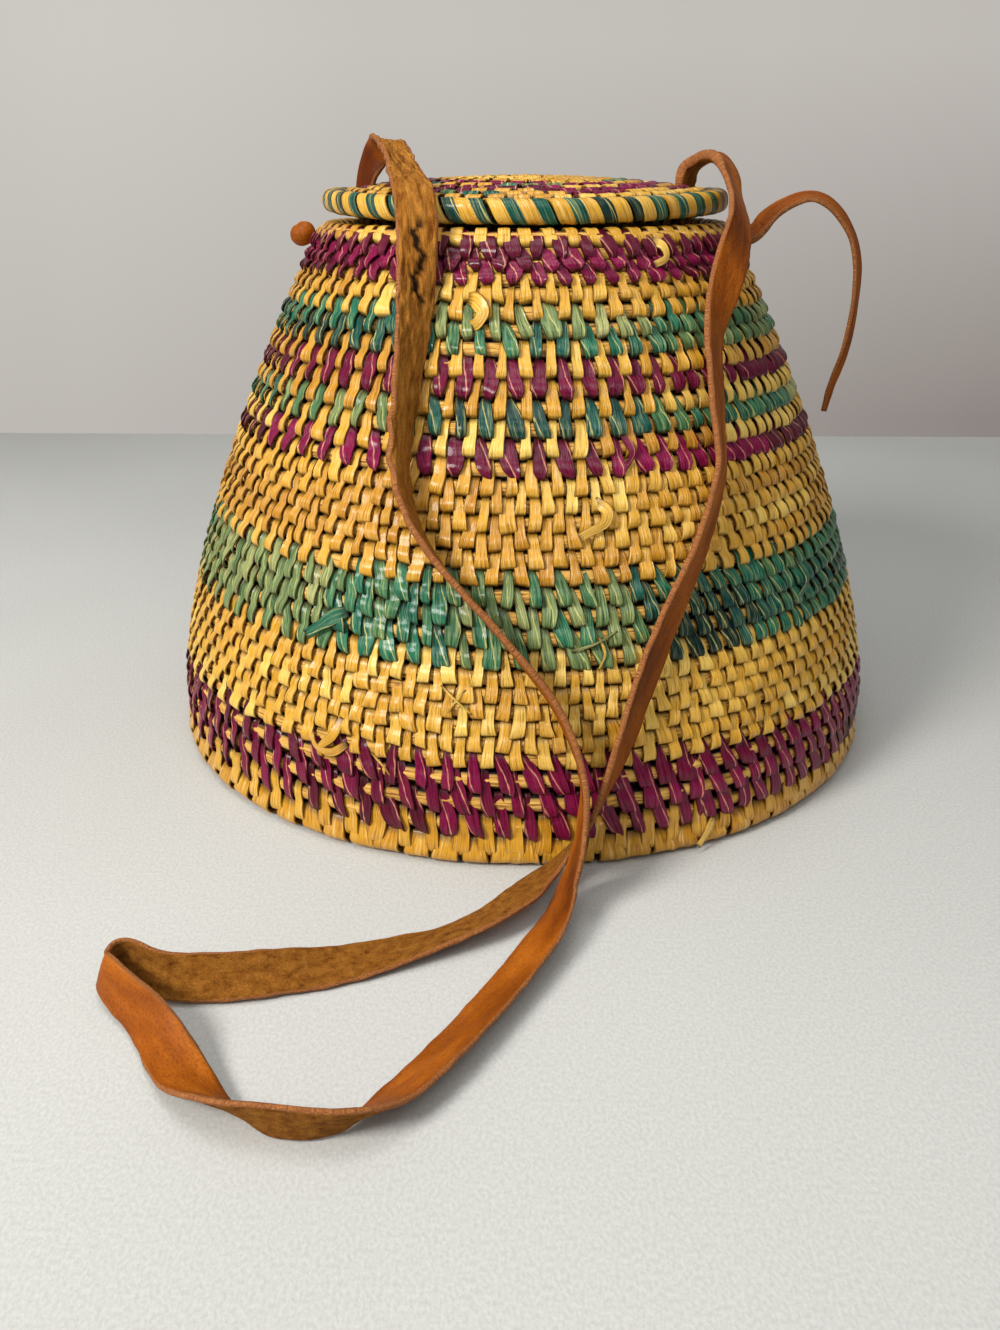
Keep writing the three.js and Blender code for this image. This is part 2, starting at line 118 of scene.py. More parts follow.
# The strap from the left slot to the right one: a place, then the way its grain side faces.
STRAP_ROUTE = [
    (-49, 0, 166.6, -0.85, -0.5, 0),
    (-48.4, 0, 171.5, -0.85, -0.5, 0),
    (-46.8, -0.8, 176.2, -0.8, -0.55, -0.05),
    (-44.4, -3.4, 179.8, -0.7, -0.55, -0.45),
    (-41.2, -9.5, 181.9, -0.2, -0.1, -0.95),
    (-38.2, -18, 179.6, -0.25, 0.2, -0.95),
    (-34.2, -32, 175, -0.3, 0.3, -0.9),
    (-28.8, -59, 168.6, -0.15, 0.55, -0.8),
    (-27.6, -66.5, 159.7, -0.25, 0.85, -0.45),
    (-28.3, -73.5, 141.4, -0.65, 0.7, -0.25),
    (-30.1, -82.6, 123.6, -0.85, 0.5, -0.15),
    (-31.5, -89.3, 108.3, -0.95, 0.3, -0.15),
    (-30.1, -95.1, 96.8, -0.95, 0.1, -0.35),
    (-23.8, -101.4, 85.2, -0.85, -0.15, -0.5),
    (-5, -111, 65.6, -0.75, -0.25, -0.55),
    (9.2, -116.6, 48.3, -0.85, -0.25, -0.4),
    (16, -122.9, 32.2, -1, -0.05, -0.1),
    (16.1, -127.6, 23.6, -1, -0.05, 0.1),
    (14.9, -132.6, 16.9, -0.95, -0.05, 0.25),
    (11.9, -136.2, 7.4, -0.85, -0.1, 0.5),
    (5.3, -153.6, 4.6, -0.4, 0.05, 0.9),
    (-23.6, -203.6, 4.3, -0.3, 0.3, 0.9),
    (-32.6, -212.4, 5.6, -0.2, 0.85, 0.5),
    (-47, -213.4, 6.1, 0.15, 0.95, 0.25),
    (-60, -207.8, 5.4, 0.3, 0.6, 0.75),
    (-68.2, -199.2, 3.6, 0, 0, 1),
    (-80, -184.4, 5.4, -0.5, -0.6, 0.65),
    (-90.4, -175, 7.2, -0.65, -0.65, 0.4),
    (-94, -170.4, 8.2, -0.95, -0.1, 0.35),
    (-90.8, -166.9, 8.9, 0, 0.95, 0.2),
    (-81.2, -170.5, 6.4, 0.15, 0.85, -0.35),
    (-67.9, -169.8, 5.3, -0.1, 0.75, -0.65),
    (-56, -166.6, 4.4, -0.05, 0.57, -0.82),
    (-42, -161.4, 2.6, -0.1, 0.27, -0.96),
    (-28.4, -155.5, 2.6, -0.1, -0.05, -1),
    (-19.1, -151.2, 3, -0.05, -0.28, -0.95),
    (-9.6, -146, 4.4, 0, -0.36, -0.93),
    (-1.2, -138.6, 5.6, 0, -0.36, -0.93),
    (5.6, -127.3, 5, 0.4, -0.2, -0.9),
    (11.4, -121.7, 7.3, 0.7, -0.25, -0.7),
    (16.8, -120.6, 14, 0.85, -0.25, -0.5),
    (20.1, -119.8, 20.8, 0.9, -0.3, -0.35),
    (23.3, -118, 28.8, 0.9, -0.4, -0.25),
    (27.8, -113.8, 40.6, 0.85, -0.55, -0.1),
    (35.6, -105, 61.4, 0.8, -0.6, -0.05),
    (46.8, -91.8, 84.5, 0.9, -0.45, -0.1),
    (52.2, -80.8, 101.5, 0.95, -0.3, 0.05),
    (51.3, -72, 118.2, 0.9, -0.35, 0.2),
    (51, -62, 135, 0.85, -0.5, 0.2),
    (55.4, -52, 149, 0.55, -0.7, 0.45),
    (60.2, -36, 161.1, 0.8, -0.4, 0.45),
    (59.7, -19, 171.4, 0.8, -0.2, 0.55),
    (58.2, -9, 176.6, 0.55, -0.05, 0.85),
    (54.4, -2.5, 178.1, -0.2, 0.1, 1),
    (50.2, 0.2, 175.5, -0.7, 0.4, 0.55),
    (49, 0, 171.5, -0.85, 0.5, 0),
    (49, 0, 166.6, -0.85, 0.5, 0),
]

# The loose tail beyond the right knot
TAIL_ROUTE = [
    (73, 0, 159, -0.75, -0.35, 0.55),
    (74.5, 0, 161.1, -0.7, -0.35, 0.6),
    (78.8, 0, 164.4, -0.5, -0.3, 0.85),
    (86.8, 0, 167.2, 0, -0.25, 0.95),
    (92.1, 0, 166, 0.4, -0.4, 0.85),
    (96.9, 0, 162.1, 0.65, -0.45, 0.6),
    (101.4, 0, 155.9, 0.8, -0.45, 0.4),
    (103.8, 0, 148.1, 0.85, -0.5, 0.15),
    (104.5, 0, 139.5, 0.85, -0.5, 0.05),
    (104.2, 0, 129.9, 0.8, -0.6, -0.05),
    (102.8, 0, 120.2, 0.65, -0.75, -0.15),
    (100.2, 0, 111.1, 0.4, -0.9, -0.1),
    (98.4, 0, 102.1, 0.6, -0.8, -0.1),
]

# The bands of stitching from the mouth down: the node that each stands for, its dye, how many
# courses it has, the share of the wall's line at which it ends and the stitches in a course.
RIM_FOOT_SHARE = 0.0269
RIM_STITCHES = 64
BANDS = [
    ("collar_magenta_straw", "magenta", 3, 0.087, 66),
    ("shoulder_natural_straw", "natural", 2, 0.142, 70),
    ("upper_green_straw", "green", 2, 0.198, 73),
    ("stripe_natural_straw_1", "natural", 1, 0.23, 76),
    ("stripe_magenta_straw_1", "magenta", 1, 0.26, 77),
    ("stripe_natural_straw_2", "natural", 1, 0.29, 79),
    ("stripe_green_straw", "green", 1, 0.32, 80),
    ("stripe_natural_straw_3", "natural", 1, 0.35, 81),
    ("stripe_magenta_straw_2", "magenta", 1, 0.38, 83),
    ("waist_natural_straw", "natural", 6, 0.54, 88),
    ("belt_green_straw", "green", 4, 0.666, 95),
    ("lower_natural_straw", "natural", 6, 0.819, 96),
    ("hem_magenta_straw", "magenta", 3, 0.938, 88),
    ("foot_natural_straw", "natural", 2, 1, 84),
]


def lerp(a, b, t):
    return a + (b - a) * t


def eased(t):
    t = min(max(t, 0), 1)
    return t * t * (3 - 2 * t)


def between(t, start, ease_in, end, ease_out):
    """1 between a start and an end, and eased down to 0 at both."""
    return eased((t - start) / ease_in) * eased((end - t) / ease_out)


# The camera, the light, the table and the backdrop

# Where the camera stands in metres, its lens in millimetres and its two turns in degrees
CAMERA_PLACE = (0, -0.3814, 0.1727)
SENSOR_WIDTH = 36
LENS = 31.13
CAMERA_DOWN = 23
CAMERA_LEFT = 1.145

# How far from the axis the table ends at the back, and the backdrop hangs, in metres
TABLE_EDGE = 0.453
BACKDROP_PLACE = 1.3


def tint(red, green, blue):
    """A colour written as it looks on a screen, 0 to 255, in linear light."""
    linear = []
    for value in (red, green, blue):
        share = value / 255
        linear.append(share / 12.92 if share <= 0.04045 else ((share + 0.055) / 1.055) ** 2.4)
    return (*linear, 1)


class Finish:
    """A node material, with short ways to add the nodes that these finishes need."""

    def __init__(self, name):
        self.material = bpy.data.materials.new(name)
        self.material.use_nodes = True
        self.tree = self.material.node_tree
        self.shader = self.tree.nodes["Principled BSDF"]

    def node(self, kind, **settings):
        node = self.tree.nodes.new(kind)
        for key, value in settings.items():
            setattr(node, key, value)
        return node

    def set(self, socket, value):
        if isinstance(value, bpy.types.NodeSocket):
            self.tree.links.new(value, socket)
        else:
            socket.default_value = value

    def maths(self, operation, a, b=0.0):
        node = self.node("ShaderNodeMath", operation=operation)
        self.set(node.inputs[0], a)
        self.set(node.inputs[1], b)
        return node.outputs[0]

    def plus(self, a, b):
        return self.maths("ADD", a, b)

    def minus(self, a, b):
        return self.maths("SUBTRACT", a, b)

    def times(self, a, b):
        return self.maths("MULTIPLY", a, b)

    def vector(self, x, y, z):
        node = self.node("ShaderNodeCombineXYZ")
        for socket, value in zip(node.inputs, (x, y, z)):
            self.set(socket, value)
        return node.outputs[0]

    def split(self, vector):
        node = self.node("ShaderNodeSeparateXYZ")
        self.set(node.inputs[0], vector)
        return node.outputs

    def place(self, *scale):
        """Where a point is on the object, stretched where a scale is given."""
        node = self.node("ShaderNodeMapping")
        self.set(node.inputs["Vector"], self.node("ShaderNodeTexCoord").outputs["Object"])
        node.inputs["Scale"].default_value = scale or (1, 1, 1)
        return node.outputs[0]

    def uv(self):
        return self.split(self.node("ShaderNodeUVMap", uv_map="surface").outputs[0])

    def attribute(self, name):
        return self.node("ShaderNodeAttribute", attribute_name=name).outputs["Fac"]

    def noise(self, vector, scale, detail, roughness=0.55):
        node = self.node("ShaderNodeTexNoise")
        self.set(node.inputs["Vector"], vector)
        node.inputs["Scale"].default_value = scale
        node.inputs["Detail"].default_value = detail
        node.inputs["Roughness"].default_value = roughness
        return node.outputs["Fac"]

    def ramp(self, factor, stops):
        """Colours along a factor: rows of a place, 0 to 1, and the colour there."""
        node = self.node("ShaderNodeValToRGB")
        elements = node.color_ramp.elements
        while len(elements) < len(stops):
            elements.new(0.5)
        for element, (position, *colour) in zip(elements, stops):
            element.position = position
            element.color = tint(*colour)
        self.set(node.inputs[0], factor)
        return node.outputs[0]

    def span(self, value, low, high, to_low=0.0, to_high=1.0):
        node = self.node("ShaderNodeMapRange")
        for socket, number in zip(node.inputs, (value, low, high, to_low, to_high)):
            self.set(socket, number)
        return node.outputs[0]

    def mix(self, factor, a, b, blend_type="MIX"):
        node = self.node("ShaderNodeMix", data_type="RGBA", blend_type=blend_type)
        self.set(node.inputs["Factor"], factor)
        self.set(node.inputs[6], a)
        self.set(node.inputs[7], b)
        return node.outputs[2]

    def bump(self, height, distance, strength, before=None):
        node = self.node("ShaderNodeBump")
        node.inputs["Distance"].default_value = distance
        node.inputs["Strength"].default_value = strength
        self.set(node.inputs["Height"], height)
        if before is not None:
            self.set(node.inputs["Normal"], before)
        return node.outputs[0]

    def wear(self, **values):
        """Sets the shader's sockets by name."""
        for key, value in values.items():
            self.set(self.shader.inputs[key.replace("_", " ")], value)
        return self.material


def add_camera():
    data = bpy.data.cameras.new("camera")
    data.sensor_width = SENSOR_WIDTH
    data.lens = LENS
    data.clip_start = 0.01
    camera = bpy.data.objects.new("camera", data)
    camera.location = CAMERA_PLACE
    camera.rotation_euler = (math.radians(90 - CAMERA_DOWN), 0, math.radians(CAMERA_LEFT))
    bpy.context.collection.objects.link(camera)
    bpy.context.scene.camera = camera


def add_lamp(name, place, aim, size, power, colour=(1, 1, 1)):
    data = bpy.data.lights.new(name, "AREA")
    data.shape = "DISK"
    data.size = size
    data.energy = power
    data.color = colour
    lamp = bpy.data.objects.new(name, data)
    lamp.location = place
    lamp.rotation_euler = (Vector(aim) - Vector(place)).to_track_quat("-Z", "Y").to_euler()
    bpy.context.collection.objects.link(lamp)


def add_light():
    add_lamp("window_lamp", (-0.62, -0.66, 0.66), (0, -0.02, 0.07), 0.34, 11.5, (1, 0.98, 0.95))
    add_lamp("front_lamp", (0.2, -0.6, 0.8), (0, 0, 0.08), 0.6, 1.8)
    add_lamp("top_lamp", (-0.15, -0.1, 1.1), (0, 0, 0.1), 0.6, 4)
    world = bpy.data.worlds.new("room")
    bpy.context.scene.world = world
    world.use_nodes = True
    nodes = world.node_tree.nodes
    room = nodes["Background"]
    room.inputs["Color"].default_value = (0.93, 0.95, 1, 1)
    shown = nodes.new("ShaderNodeBackground")
    shown.inputs["Color"].default_value = tint(205, 202, 198)
    seen = nodes.new("ShaderNodeLightPath")
    mix = nodes.new("ShaderNodeMixShader")
    links = world.node_tree.links
    level = nodes.new("ShaderNodeMapRange")
    links.new(seen.outputs["Is Glossy Ray"], level.inputs[0])
    level.inputs["To Min"].default_value = 0.34
    level.inputs["To Max"].default_value = 0.1
    links.new(level.outputs[0], room.inputs["Strength"])
    links.new(seen.outputs["Is Camera Ray"], mix.inputs[0])
    links.new(room.outputs[0], mix.inputs[1])
    links.new(shown.outputs[0], mix.inputs[2])
    links.new(mix.outputs[0], nodes["World Output"].inputs[0])


def sheet_of(name, places, material):
    """A flat panel between four corners, for the table and the backdrop."""
    bm = bmesh.new()
    bm.faces.new([bm.verts.new(place) for place in places])
    mesh = bpy.data.meshes.new(name)
    bm.to_mesh(mesh)
    bm.free()
    panel = bpy.data.objects.new(name, mesh)
    bpy.context.collection.objects.link(panel)
    mesh.materials.append(material)


def add_stage():
    cloth = Finish("table_cloth")
    soft = cloth.noise(cloth.place(), 3.0, 2.0)
    colour = cloth.ramp(soft, [(0.3, 186, 186, 181), (0.7, 196, 196, 191)])
    weave = cloth.noise(cloth.place(1, 0.7, 1), 1300.0, 1.0)
    threads = cloth.ramp(weave, [(0.3, 238, 238, 238), (0.7, 255, 255, 255)])
    colour = cloth.mix(1.0, colour, threads, "MULTIPLY")
    creases = cloth.noise(cloth.place(1, 0.4, 1), 7.0, 2.0)
    rippled = cloth.bump(creases, 0.004, 0.3)
    cloth.wear(Base_Color=colour, Roughness=0.9, Normal=cloth.bump(weave, 0.0003, 0.3, rippled))
    table = [(-3, -3, 0), (3, -3, 0), (3, TABLE_EDGE, 0), (-3, TABLE_EDGE, 0)]
    sheet_of("table", table, cloth.material)

    # The backdrop's colour is painted light and shade: darker towards the bottom and the right,
    # most in the lower right, with painted shade of soft folds. To the camera it glows with that
    # colour instead of being lit.
    curtain = Finish("curtain")
    x, _, z = curtain.split(curtain.place())
    folds = curtain.noise(curtain.place(1.6, 1, 0.2), 1.6, 2.0)
    low = curtain.span(z, -0.15, 0.33, 1.0, 0.0)
    right = curtain.span(x, -0.65, 0.65, 0.0, 1.0)
    corner = curtain.times(low, right)
    shade = curtain.plus(curtain.times(low, 0.26), curtain.times(right, 0.28))
    shade = curtain.plus(shade, curtain.times(corner, 0.46))
    shade = curtain.plus(shade, curtain.span(folds, 0.3, 0.7, 0.04, -0.04))
    painted_shade_colour = curtain.ramp(shade, [(0.0, 205, 201, 195), (1.0, 142, 134, 130)])
    glow = curtain.node("ShaderNodeEmission")
    curtain.set(glow.inputs["Color"], painted_shade_colour)
    shown = curtain.node("ShaderNodeMixShader")
    curtain.wear(Base_Color=painted_shade_colour, Roughness=0.95)
    output = curtain.tree.nodes["Material Output"]
    curtain.set(shown.inputs[0], curtain.node("ShaderNodeLightPath").outputs["Is Camera Ray"])
    curtain.set(shown.inputs[1], curtain.shader.outputs[0])
    curtain.set(shown.inputs[2], glow.outputs[0])
    curtain.set(output.inputs[0], shown.outputs[0])
    far = BACKDROP_PLACE
    sheet_of("backdrop", [(-4, far, -1.5), (4, far, -1.5), (4, far, 3), (-4, far, 3)],
             curtain.material)


# The finishes of straw, grass and leather

# How much finer a straw's fibres are across it, and how strong a dyed straw's pale line is
FIBRES_ACROSS = 6.0
STREAK_SHARE = 0.7


def straw_parts(finish):
    """What every straw strip shares: where a point is on it, and its fibres."""
    across, along, _ = finish.uv()
    strip = finish.attribute("strip")
    tone = finish.attribute("tone")
    seed = finish.times(strip, 57.0)
    fibre_place = finish.vector(finish.times(across, FIBRES_ACROSS), along, seed)
    fibres = finish.noise(fibre_place, 1.6, 3.0, 0.6)
    return across, along, strip, tone, fibres


def straw_bump(finish, fibres):
    grain = finish.noise(finish.place(), 900.0, 2.0)
    ridged = finish.bump(fibres, 0.0006, 0.8)
    return finish.bump(grain, 0.0001, 0.25, ridged)


def painted_shade_ends(finish, across, along, colour, depth):
    """Paints shade on a strip where it dives in at its two ends, and down its two sides."""
    head = finish.span(along, 0.0, 0.2, 1.0, 0.0)
    foot = finish.span(along, 0.92, 1.0, 0.0, 1.0)
    aside = finish.maths("ABSOLUTE", finish.minus(across, 0.5))
    side = finish.span(aside, 0.41, 0.5, 0.0, 0.85)
    dark = finish.maths("MAXIMUM", finish.maths("MAXIMUM", head, foot), side)
    return finish.mix(finish.times(dark, depth), colour, tint(46, 18, 0))


def natural_straw():
    finish = Finish("natural_straw")
    across, along, strip, tone, fibres = straw_parts(finish)
    base = finish.ramp(tone, [
        (0.0, 182, 122, 20),
        (0.35, 203, 146, 32),
        (0.7, 217, 164, 50),
        (1.0, 233, 194, 88),
    ])
    lines = finish.ramp(fibres, [(0.34, 140, 80, 4), (0.44, 255, 255, 255)])
    colour = finish.mix(0.5, base, lines, "MULTIPLY")
    # Painted highlight: the palest fibres are lightened towards pale gold.
    pale = finish.span(fibres, 0.54, 0.68)
    colour = finish.mix(finish.times(pale, 0.5), colour, tint(242, 212, 148))
    colour = painted_shade_ends(finish, across, along, colour, 0.88)
    return finish.wear(Base_Color=colour, Roughness=0.32, Normal=straw_bump(finish, fibres),
                       Specular_IOR_Level=0.4, Coat_Weight=0.2, Coat_Roughness=0.18)


def dyed_straw(name, stops, streak, worn_share):
    """Dyed straw: an uneven tone from strip to strip, and a pale twist line across each."""
    finish = Finish(name)
    across, along, strip, tone, fibres = straw_parts(finish)
    base = finish.ramp(tone, stops)
    lines = finish.ramp(fibres, [(0.34, 70, 60, 60), (0.5, 255, 255, 255)])
    colour = finish.mix(0.7, base, lines, "MULTIPLY")
    start = finish.span(strip, 0.0, 1.0, -0.35, 0.75)
    line = finish.minus(across, finish.plus(start, finish.times(along, 0.6)))
    wobble = finish.times(finish.minus(fibres, 0.5), 0.25)
    off = finish.maths("ABSOLUTE", finish.plus(line, wobble))
    streaked = finish.span(off, 0.01, 0.055, STREAK_SHARE, 0.0)
    colour = finish.mix(streaked, colour, streak)
    worn = finish.span(fibres, 0.52, 0.7)
    colour = finish.mix(finish.times(worn, worn_share), colour, streak)
    colour = painted_shade_ends(finish, across, along, colour, 0.85)
    return finish.wear(Base_Color=colour, Roughness=0.34, Normal=straw_bump(finish, fibres),
                       Specular_IOR_Level=0.2, Coat_Weight=0.2, Coat_Roughness=0.15)


def grass_bundle():
    """Dry grass wound along the coils, with painted shade down between them."""
    finish = Finish("grass_bundle")
    x, y, z = finish.split(finish.place())
    turn = finish.maths("ARCTAN2", y, x)
    out = finish.maths("SQRT", finish.plus(finish.times(x, x), finish.times(y, y)))
    place = finish.vector(finish.times(turn, 2.2), finish.times(out, 300.0),
                          finish.times(z, 300.0))
    stems = finish.noise(place, 5.0, 3.0, 0.6)
    colour = finish.ramp(stems, [
        (0.34, 120, 72, 18),
        (0.46, 206, 152, 62),
        (0.7, 232, 188, 100),
    ])
    # Painted shade: the grass goes near black on the sides of each coil that face away from view,
    # down between the coils.
    hollow_shade = finish.attribute("hollow_shade")
    colour = finish.mix(finish.span(hollow_shade, 0.16, 0.5), colour, tint(16, 7, 2))
    return finish.wear(Base_Color=colour, Roughness=0.8, Normal=finish.bump(stems, 0.0008, 0.7))


def grain_leather():
    finish = Finish("grain_leather")
    across, along, _ = finish.uv()
    place = finish.vector(across, along, 0.0)
    patches = finish.noise(finish.vector(across, finish.times(along, 0.35), 0.0), 0.9, 4.0)
    colour = finish.ramp(patches, [
        (0.3, 98, 44, 4),
        (0.5, 142, 72, 8),
        (0.72, 182, 102, 24),
    ])
    pores = finish.noise(place, 14.0, 3.0, 0.65)
    colour = finish.mix(finish.span(pores, 0.36, 0.5, 0.4, 0.0), colour, tint(72, 28, 6))
    creases = finish.noise(finish.vector(finish.times(across, 3.0), along, 2.0), 2.4, 4.0, 0.6)
    # Painted shade where the dark attribute says: along the crack and on the left run under the
    # arch.
    colour = finish.mix(finish.attribute("dark"), colour, tint(64, 14, 0))
    bumped = finish.bump(creases, 0.0008, 0.5)
    return finish.wear(Base_Color=colour, Roughness=0.5, Specular_IOR_Level=0.12,
                       Normal=finish.bump(pores, 0.0003, 0.4, bumped))


def suede_leather():
    finish = Finish("suede_leather")
    across, along, _ = finish.uv()
    streaks = finish.noise(finish.vector(finish.times(across, 4.2), finish.times(along, 0.7), 5.0),
                           1.7, 5.0, 0.68)
    mottle = finish.noise(finish.vector(across, finish.times(along, 0.6), 4.0), 5.0, 8.0, 0.8)
    height = finish.split(finish.place())[2]
    worn = finish.span(height, 0.07, 0.12)
    creased = finish.plus(finish.times(finish.plus(streaks, 0.05), worn),
                          finish.times(mottle, finish.minus(1.0, worn)))
    nap = finish.noise(finish.vector(across, along, 1.0), 26.0, 3.0, 0.7)
    colour = finish.ramp(creased, [
        (0.32, 84, 40, 4),
        (0.43, 154, 92, 26),
        (0.54, 190, 122, 42),
        (0.72, 216, 150, 62),
    ])
    colour = finish.mix(finish.span(nap, 0.35, 0.6, 0.35, 0.0), colour, tint(78, 38, 6))
    # Painted shade where the dark attribute says: along the crack and on the left run under the
    # arch.
    colour = finish.mix(finish.attribute("dark"), colour, tint(34, 14, 4))
    bumped = finish.bump(creased, 0.002, 1.0)
    return finish.wear(Base_Color=colour, Roughness=0.95, Specular_IOR_Level=0.15,
                       Normal=finish.bump(nap, 0.0006, 0.9, bumped))


def cut_leather():
    finish = Finish("cut_leather")
    across, along, _ = finish.uv()
    nap = finish.noise(finish.vector(finish.times(across, 2.0), along, 0.0), 20.0, 3.0, 0.7)
    colour = finish.ramp(nap, [
        (0.3, 90, 46, 12),
        (0.55, 150, 88, 34),
        (0.8, 206, 146, 80),
    ])
    return finish.wear(Base_Color=colour, Roughness=0.85, Normal=finish.bump(nap, 0.0005, 0.7))


MAGENTA_STOPS = [
    (0.0, 80, 0, 30),
    (0.5, 106, 0, 48),
    (1.0, 136, 6, 68),
]
GREEN_STOPS = [
    (0.0, 8, 42, 38),
    (0.25, 18, 82, 72),
    (0.48, 34, 112, 82),
    (0.62, 70, 110, 66),
    (0.8, 124, 138, 84),
    (1.0, 186, 182, 118),
]


def add_finishes():
    return {
        "natural": natural_straw(),
        "magenta": dyed_straw("magenta_straw", MAGENTA_STOPS, tint(232, 160, 124), 0.05),
        "green": dyed_straw("green_straw", GREEN_STOPS, tint(214, 202, 122), 0.36),
        "grass": grass_bundle(),
        "grain": grain_leather(),
        "suede": suede_leather(),
        "cut": cut_leather(),
    }


# The outlines that straw is laid on


class Outline:
    """A line of radius and height in millimetres. Out is to its left as it runs on."""

    def __init__(self, points):
        self.points = points
        self.ends = [0.0]
        for a, b in zip(points, points[1:]):
            self.ends.append(self.ends[-1] + math.dist(a, b))
        self.length = self.ends[-1]

    def at(self, along, out):
        """The radius and height at a length along the line, moved out from it."""
        i = min(max(bisect.bisect_right(self.ends, along) - 1, 0), len(self.points) - 2)
        a = self.points[i]
        b = self.points[i + 1]
        size = self.ends[i + 1] - self.ends[i]
        t = (along - self.ends[i]) / size
        r = lerp(a[0], b[0], t) - (b[1] - a[1]) / size * out
        z = lerp(a[1], b[1], t) + (b[0] - a[0]) / size * out
        return r, z


def flare(share):
    """The wall's radius, a share of the way down from the mouth to the belly."""
    return lerp(MOUTH_RADIUS, BELLY_RADIUS, 1 - (1 - share) ** FLARE_POWER)


def wall_outline():
    points = []
    for step in range(WALL_STEPS):
        t = step / (WALL_STEPS - 1)
        points.append((flare(t), lerp(BODY_HEIGHT, BELLY_HEIGHT, t)))
    for step in range(9):
        angle = math.pi / 2 * step / 8
        points.append((FOOT_RADIUS - FOOT_ROUND * (1 - math.cos(angle)),
                       FOOT_LIFT + FOOT_ROUND * (1 - math.sin(angle))))
    points.append((FOOT_RADIUS - FOOT_ROUND - FOOT_INSET, FOOT_LIFT))
    return Outline(points)


def crown(radius):
    return LID_CROWN + LID_DOME * (1 - (radius / LID_COIL_RADIUS) ** 2)


def rounded_section(middle_r, middle_z, half_wide, half_tall, squareness, start, end, steps):
    """Part of a rounded section, turned from one angle to another, in degrees."""
    points = []
    for step in range(steps + 1):
        angle = math.radians(lerp(start, end, step / steps))
        c = math.cos(angle)
        s = math.sin(angle)
        points.append((
            middle_r + math.copysign(abs(c) ** (2 / squareness), c) * half_wide,
            middle_z + math.copysign(abs(s) ** (2 / squareness), s) * half_tall,
        ))
    return points


WALL = wall_outline()
COURSE_ENDS = [0.0, RIM_FOOT_SHARE * WALL.length]
for _, _, courses, foot_share, _ in BANDS:
    head = COURSE_ENDS[-1]
    for course in range(1, courses + 1):
        COURSE_ENDS.append(lerp(head, foot_share * WALL.length, course / courses))

LID_TOP = Outline([(r / 2, crown(r / 2)) for r in range(0, 2 * round(LID_COIL_RADIUS) + 1)])


# Straw strips

# A strip's section: how far across from its middle, and how high from its underside.
STRIP_EDGE = 0.88
STRIP_FOLD = 0.35
STRIP_SECTION = [
    (-1, 0.3), (-STRIP_EDGE, 0.86), (-STRIP_FOLD, 1), (STRIP_FOLD, 1), (STRIP_EDGE, 0.86), (1, 0.3),
    (0.7, 0), (-0.7, 0),
]
SHORT_STATIONS = [0, 0.06, 0.18, 0.34, 0.48, 0.58, 0.68, 0.8, 0.9, 0.96, 1]
LONG_STATIONS = [step / 22 for step in range(23)]
STRIP_THICKNESS = 0.7
LOOSE_THICKNESS = 0.6


def roll_grid(bm, stations, ring, closed=True):
    """A grid rolled into a tube. Gives its vertices with their station and ring numbers."""
    made = bmesh.ops.create_grid(bm, x_segments=stations - 1, y_segments=ring, size=0.5)
    rows = []
    for vert in made["verts"]:
        station = round((vert.co.x + 0.5) * (stations - 1))
        turn = round((vert.co.y + 0.5) * ring)
        rows.append((vert, station, turn % ring if closed else turn))
    return rows


def close_tube(bm):
    """Joins a rolled grid's seam and shuts its two ends."""
    bmesh.ops.remove_doubles(bm, verts=bm.verts, dist=1e-7)
    open_edges = [edge for edge in bm.edges if edge.is_boundary]
    bmesh.ops.holes_fill(bm, edges=open_edges, sides=0)
    bmesh.ops.recalc_face_normals(bm, faces=bm.faces)


def strip_pattern(stations):
    """One straw strip, lying flat: along X from 0 to 1, across Y, its height in Z."""
    bm = bmesh.new()
    surface = bm.loops.layers.uv.new("surface")
    for vert, station, turn in roll_grid(bm, len(stations), len(STRIP_SECTION)):
        across, height = STRIP_SECTION[turn]
        vert.co = (stations[station], across, height)
    close_tube(bm)
    for edge in bm.edges:
        sides = [vert.co.y for vert in edge.verts]
        if all(abs(abs(side) - STRIP_EDGE) < 0.01 for side in sides) and sides[0] * sides[1] > 0:
            edge.smooth = False
    for face in bm.faces:
        for loop in face.loops:
            loop[surface].uv = (loop.vert.co.y / 2 + 0.5, loop.vert.co.x)
    mesh = bpy.data.meshes.new("strip_pattern")
    bm.to_mesh(mesh)
    bm.free()
    return mesh, [tuple(vert.co) for vert in mesh.vertices]


SHORT_STRIP = strip_pattern(SHORT_STATIONS)
LONG_STRIP = strip_pattern(LONG_STATIONS)


def curve_through(rows, t):
    """The value at a place, from rows of a place and a value, in straight lines between them."""
    for (t0, v0), (t1, v1) in zip(rows, rows[1:]):
        if t <= t1:
            return lerp(v0, v1, (t - t0) / (t1 - t0))
    return rows[-1][1]


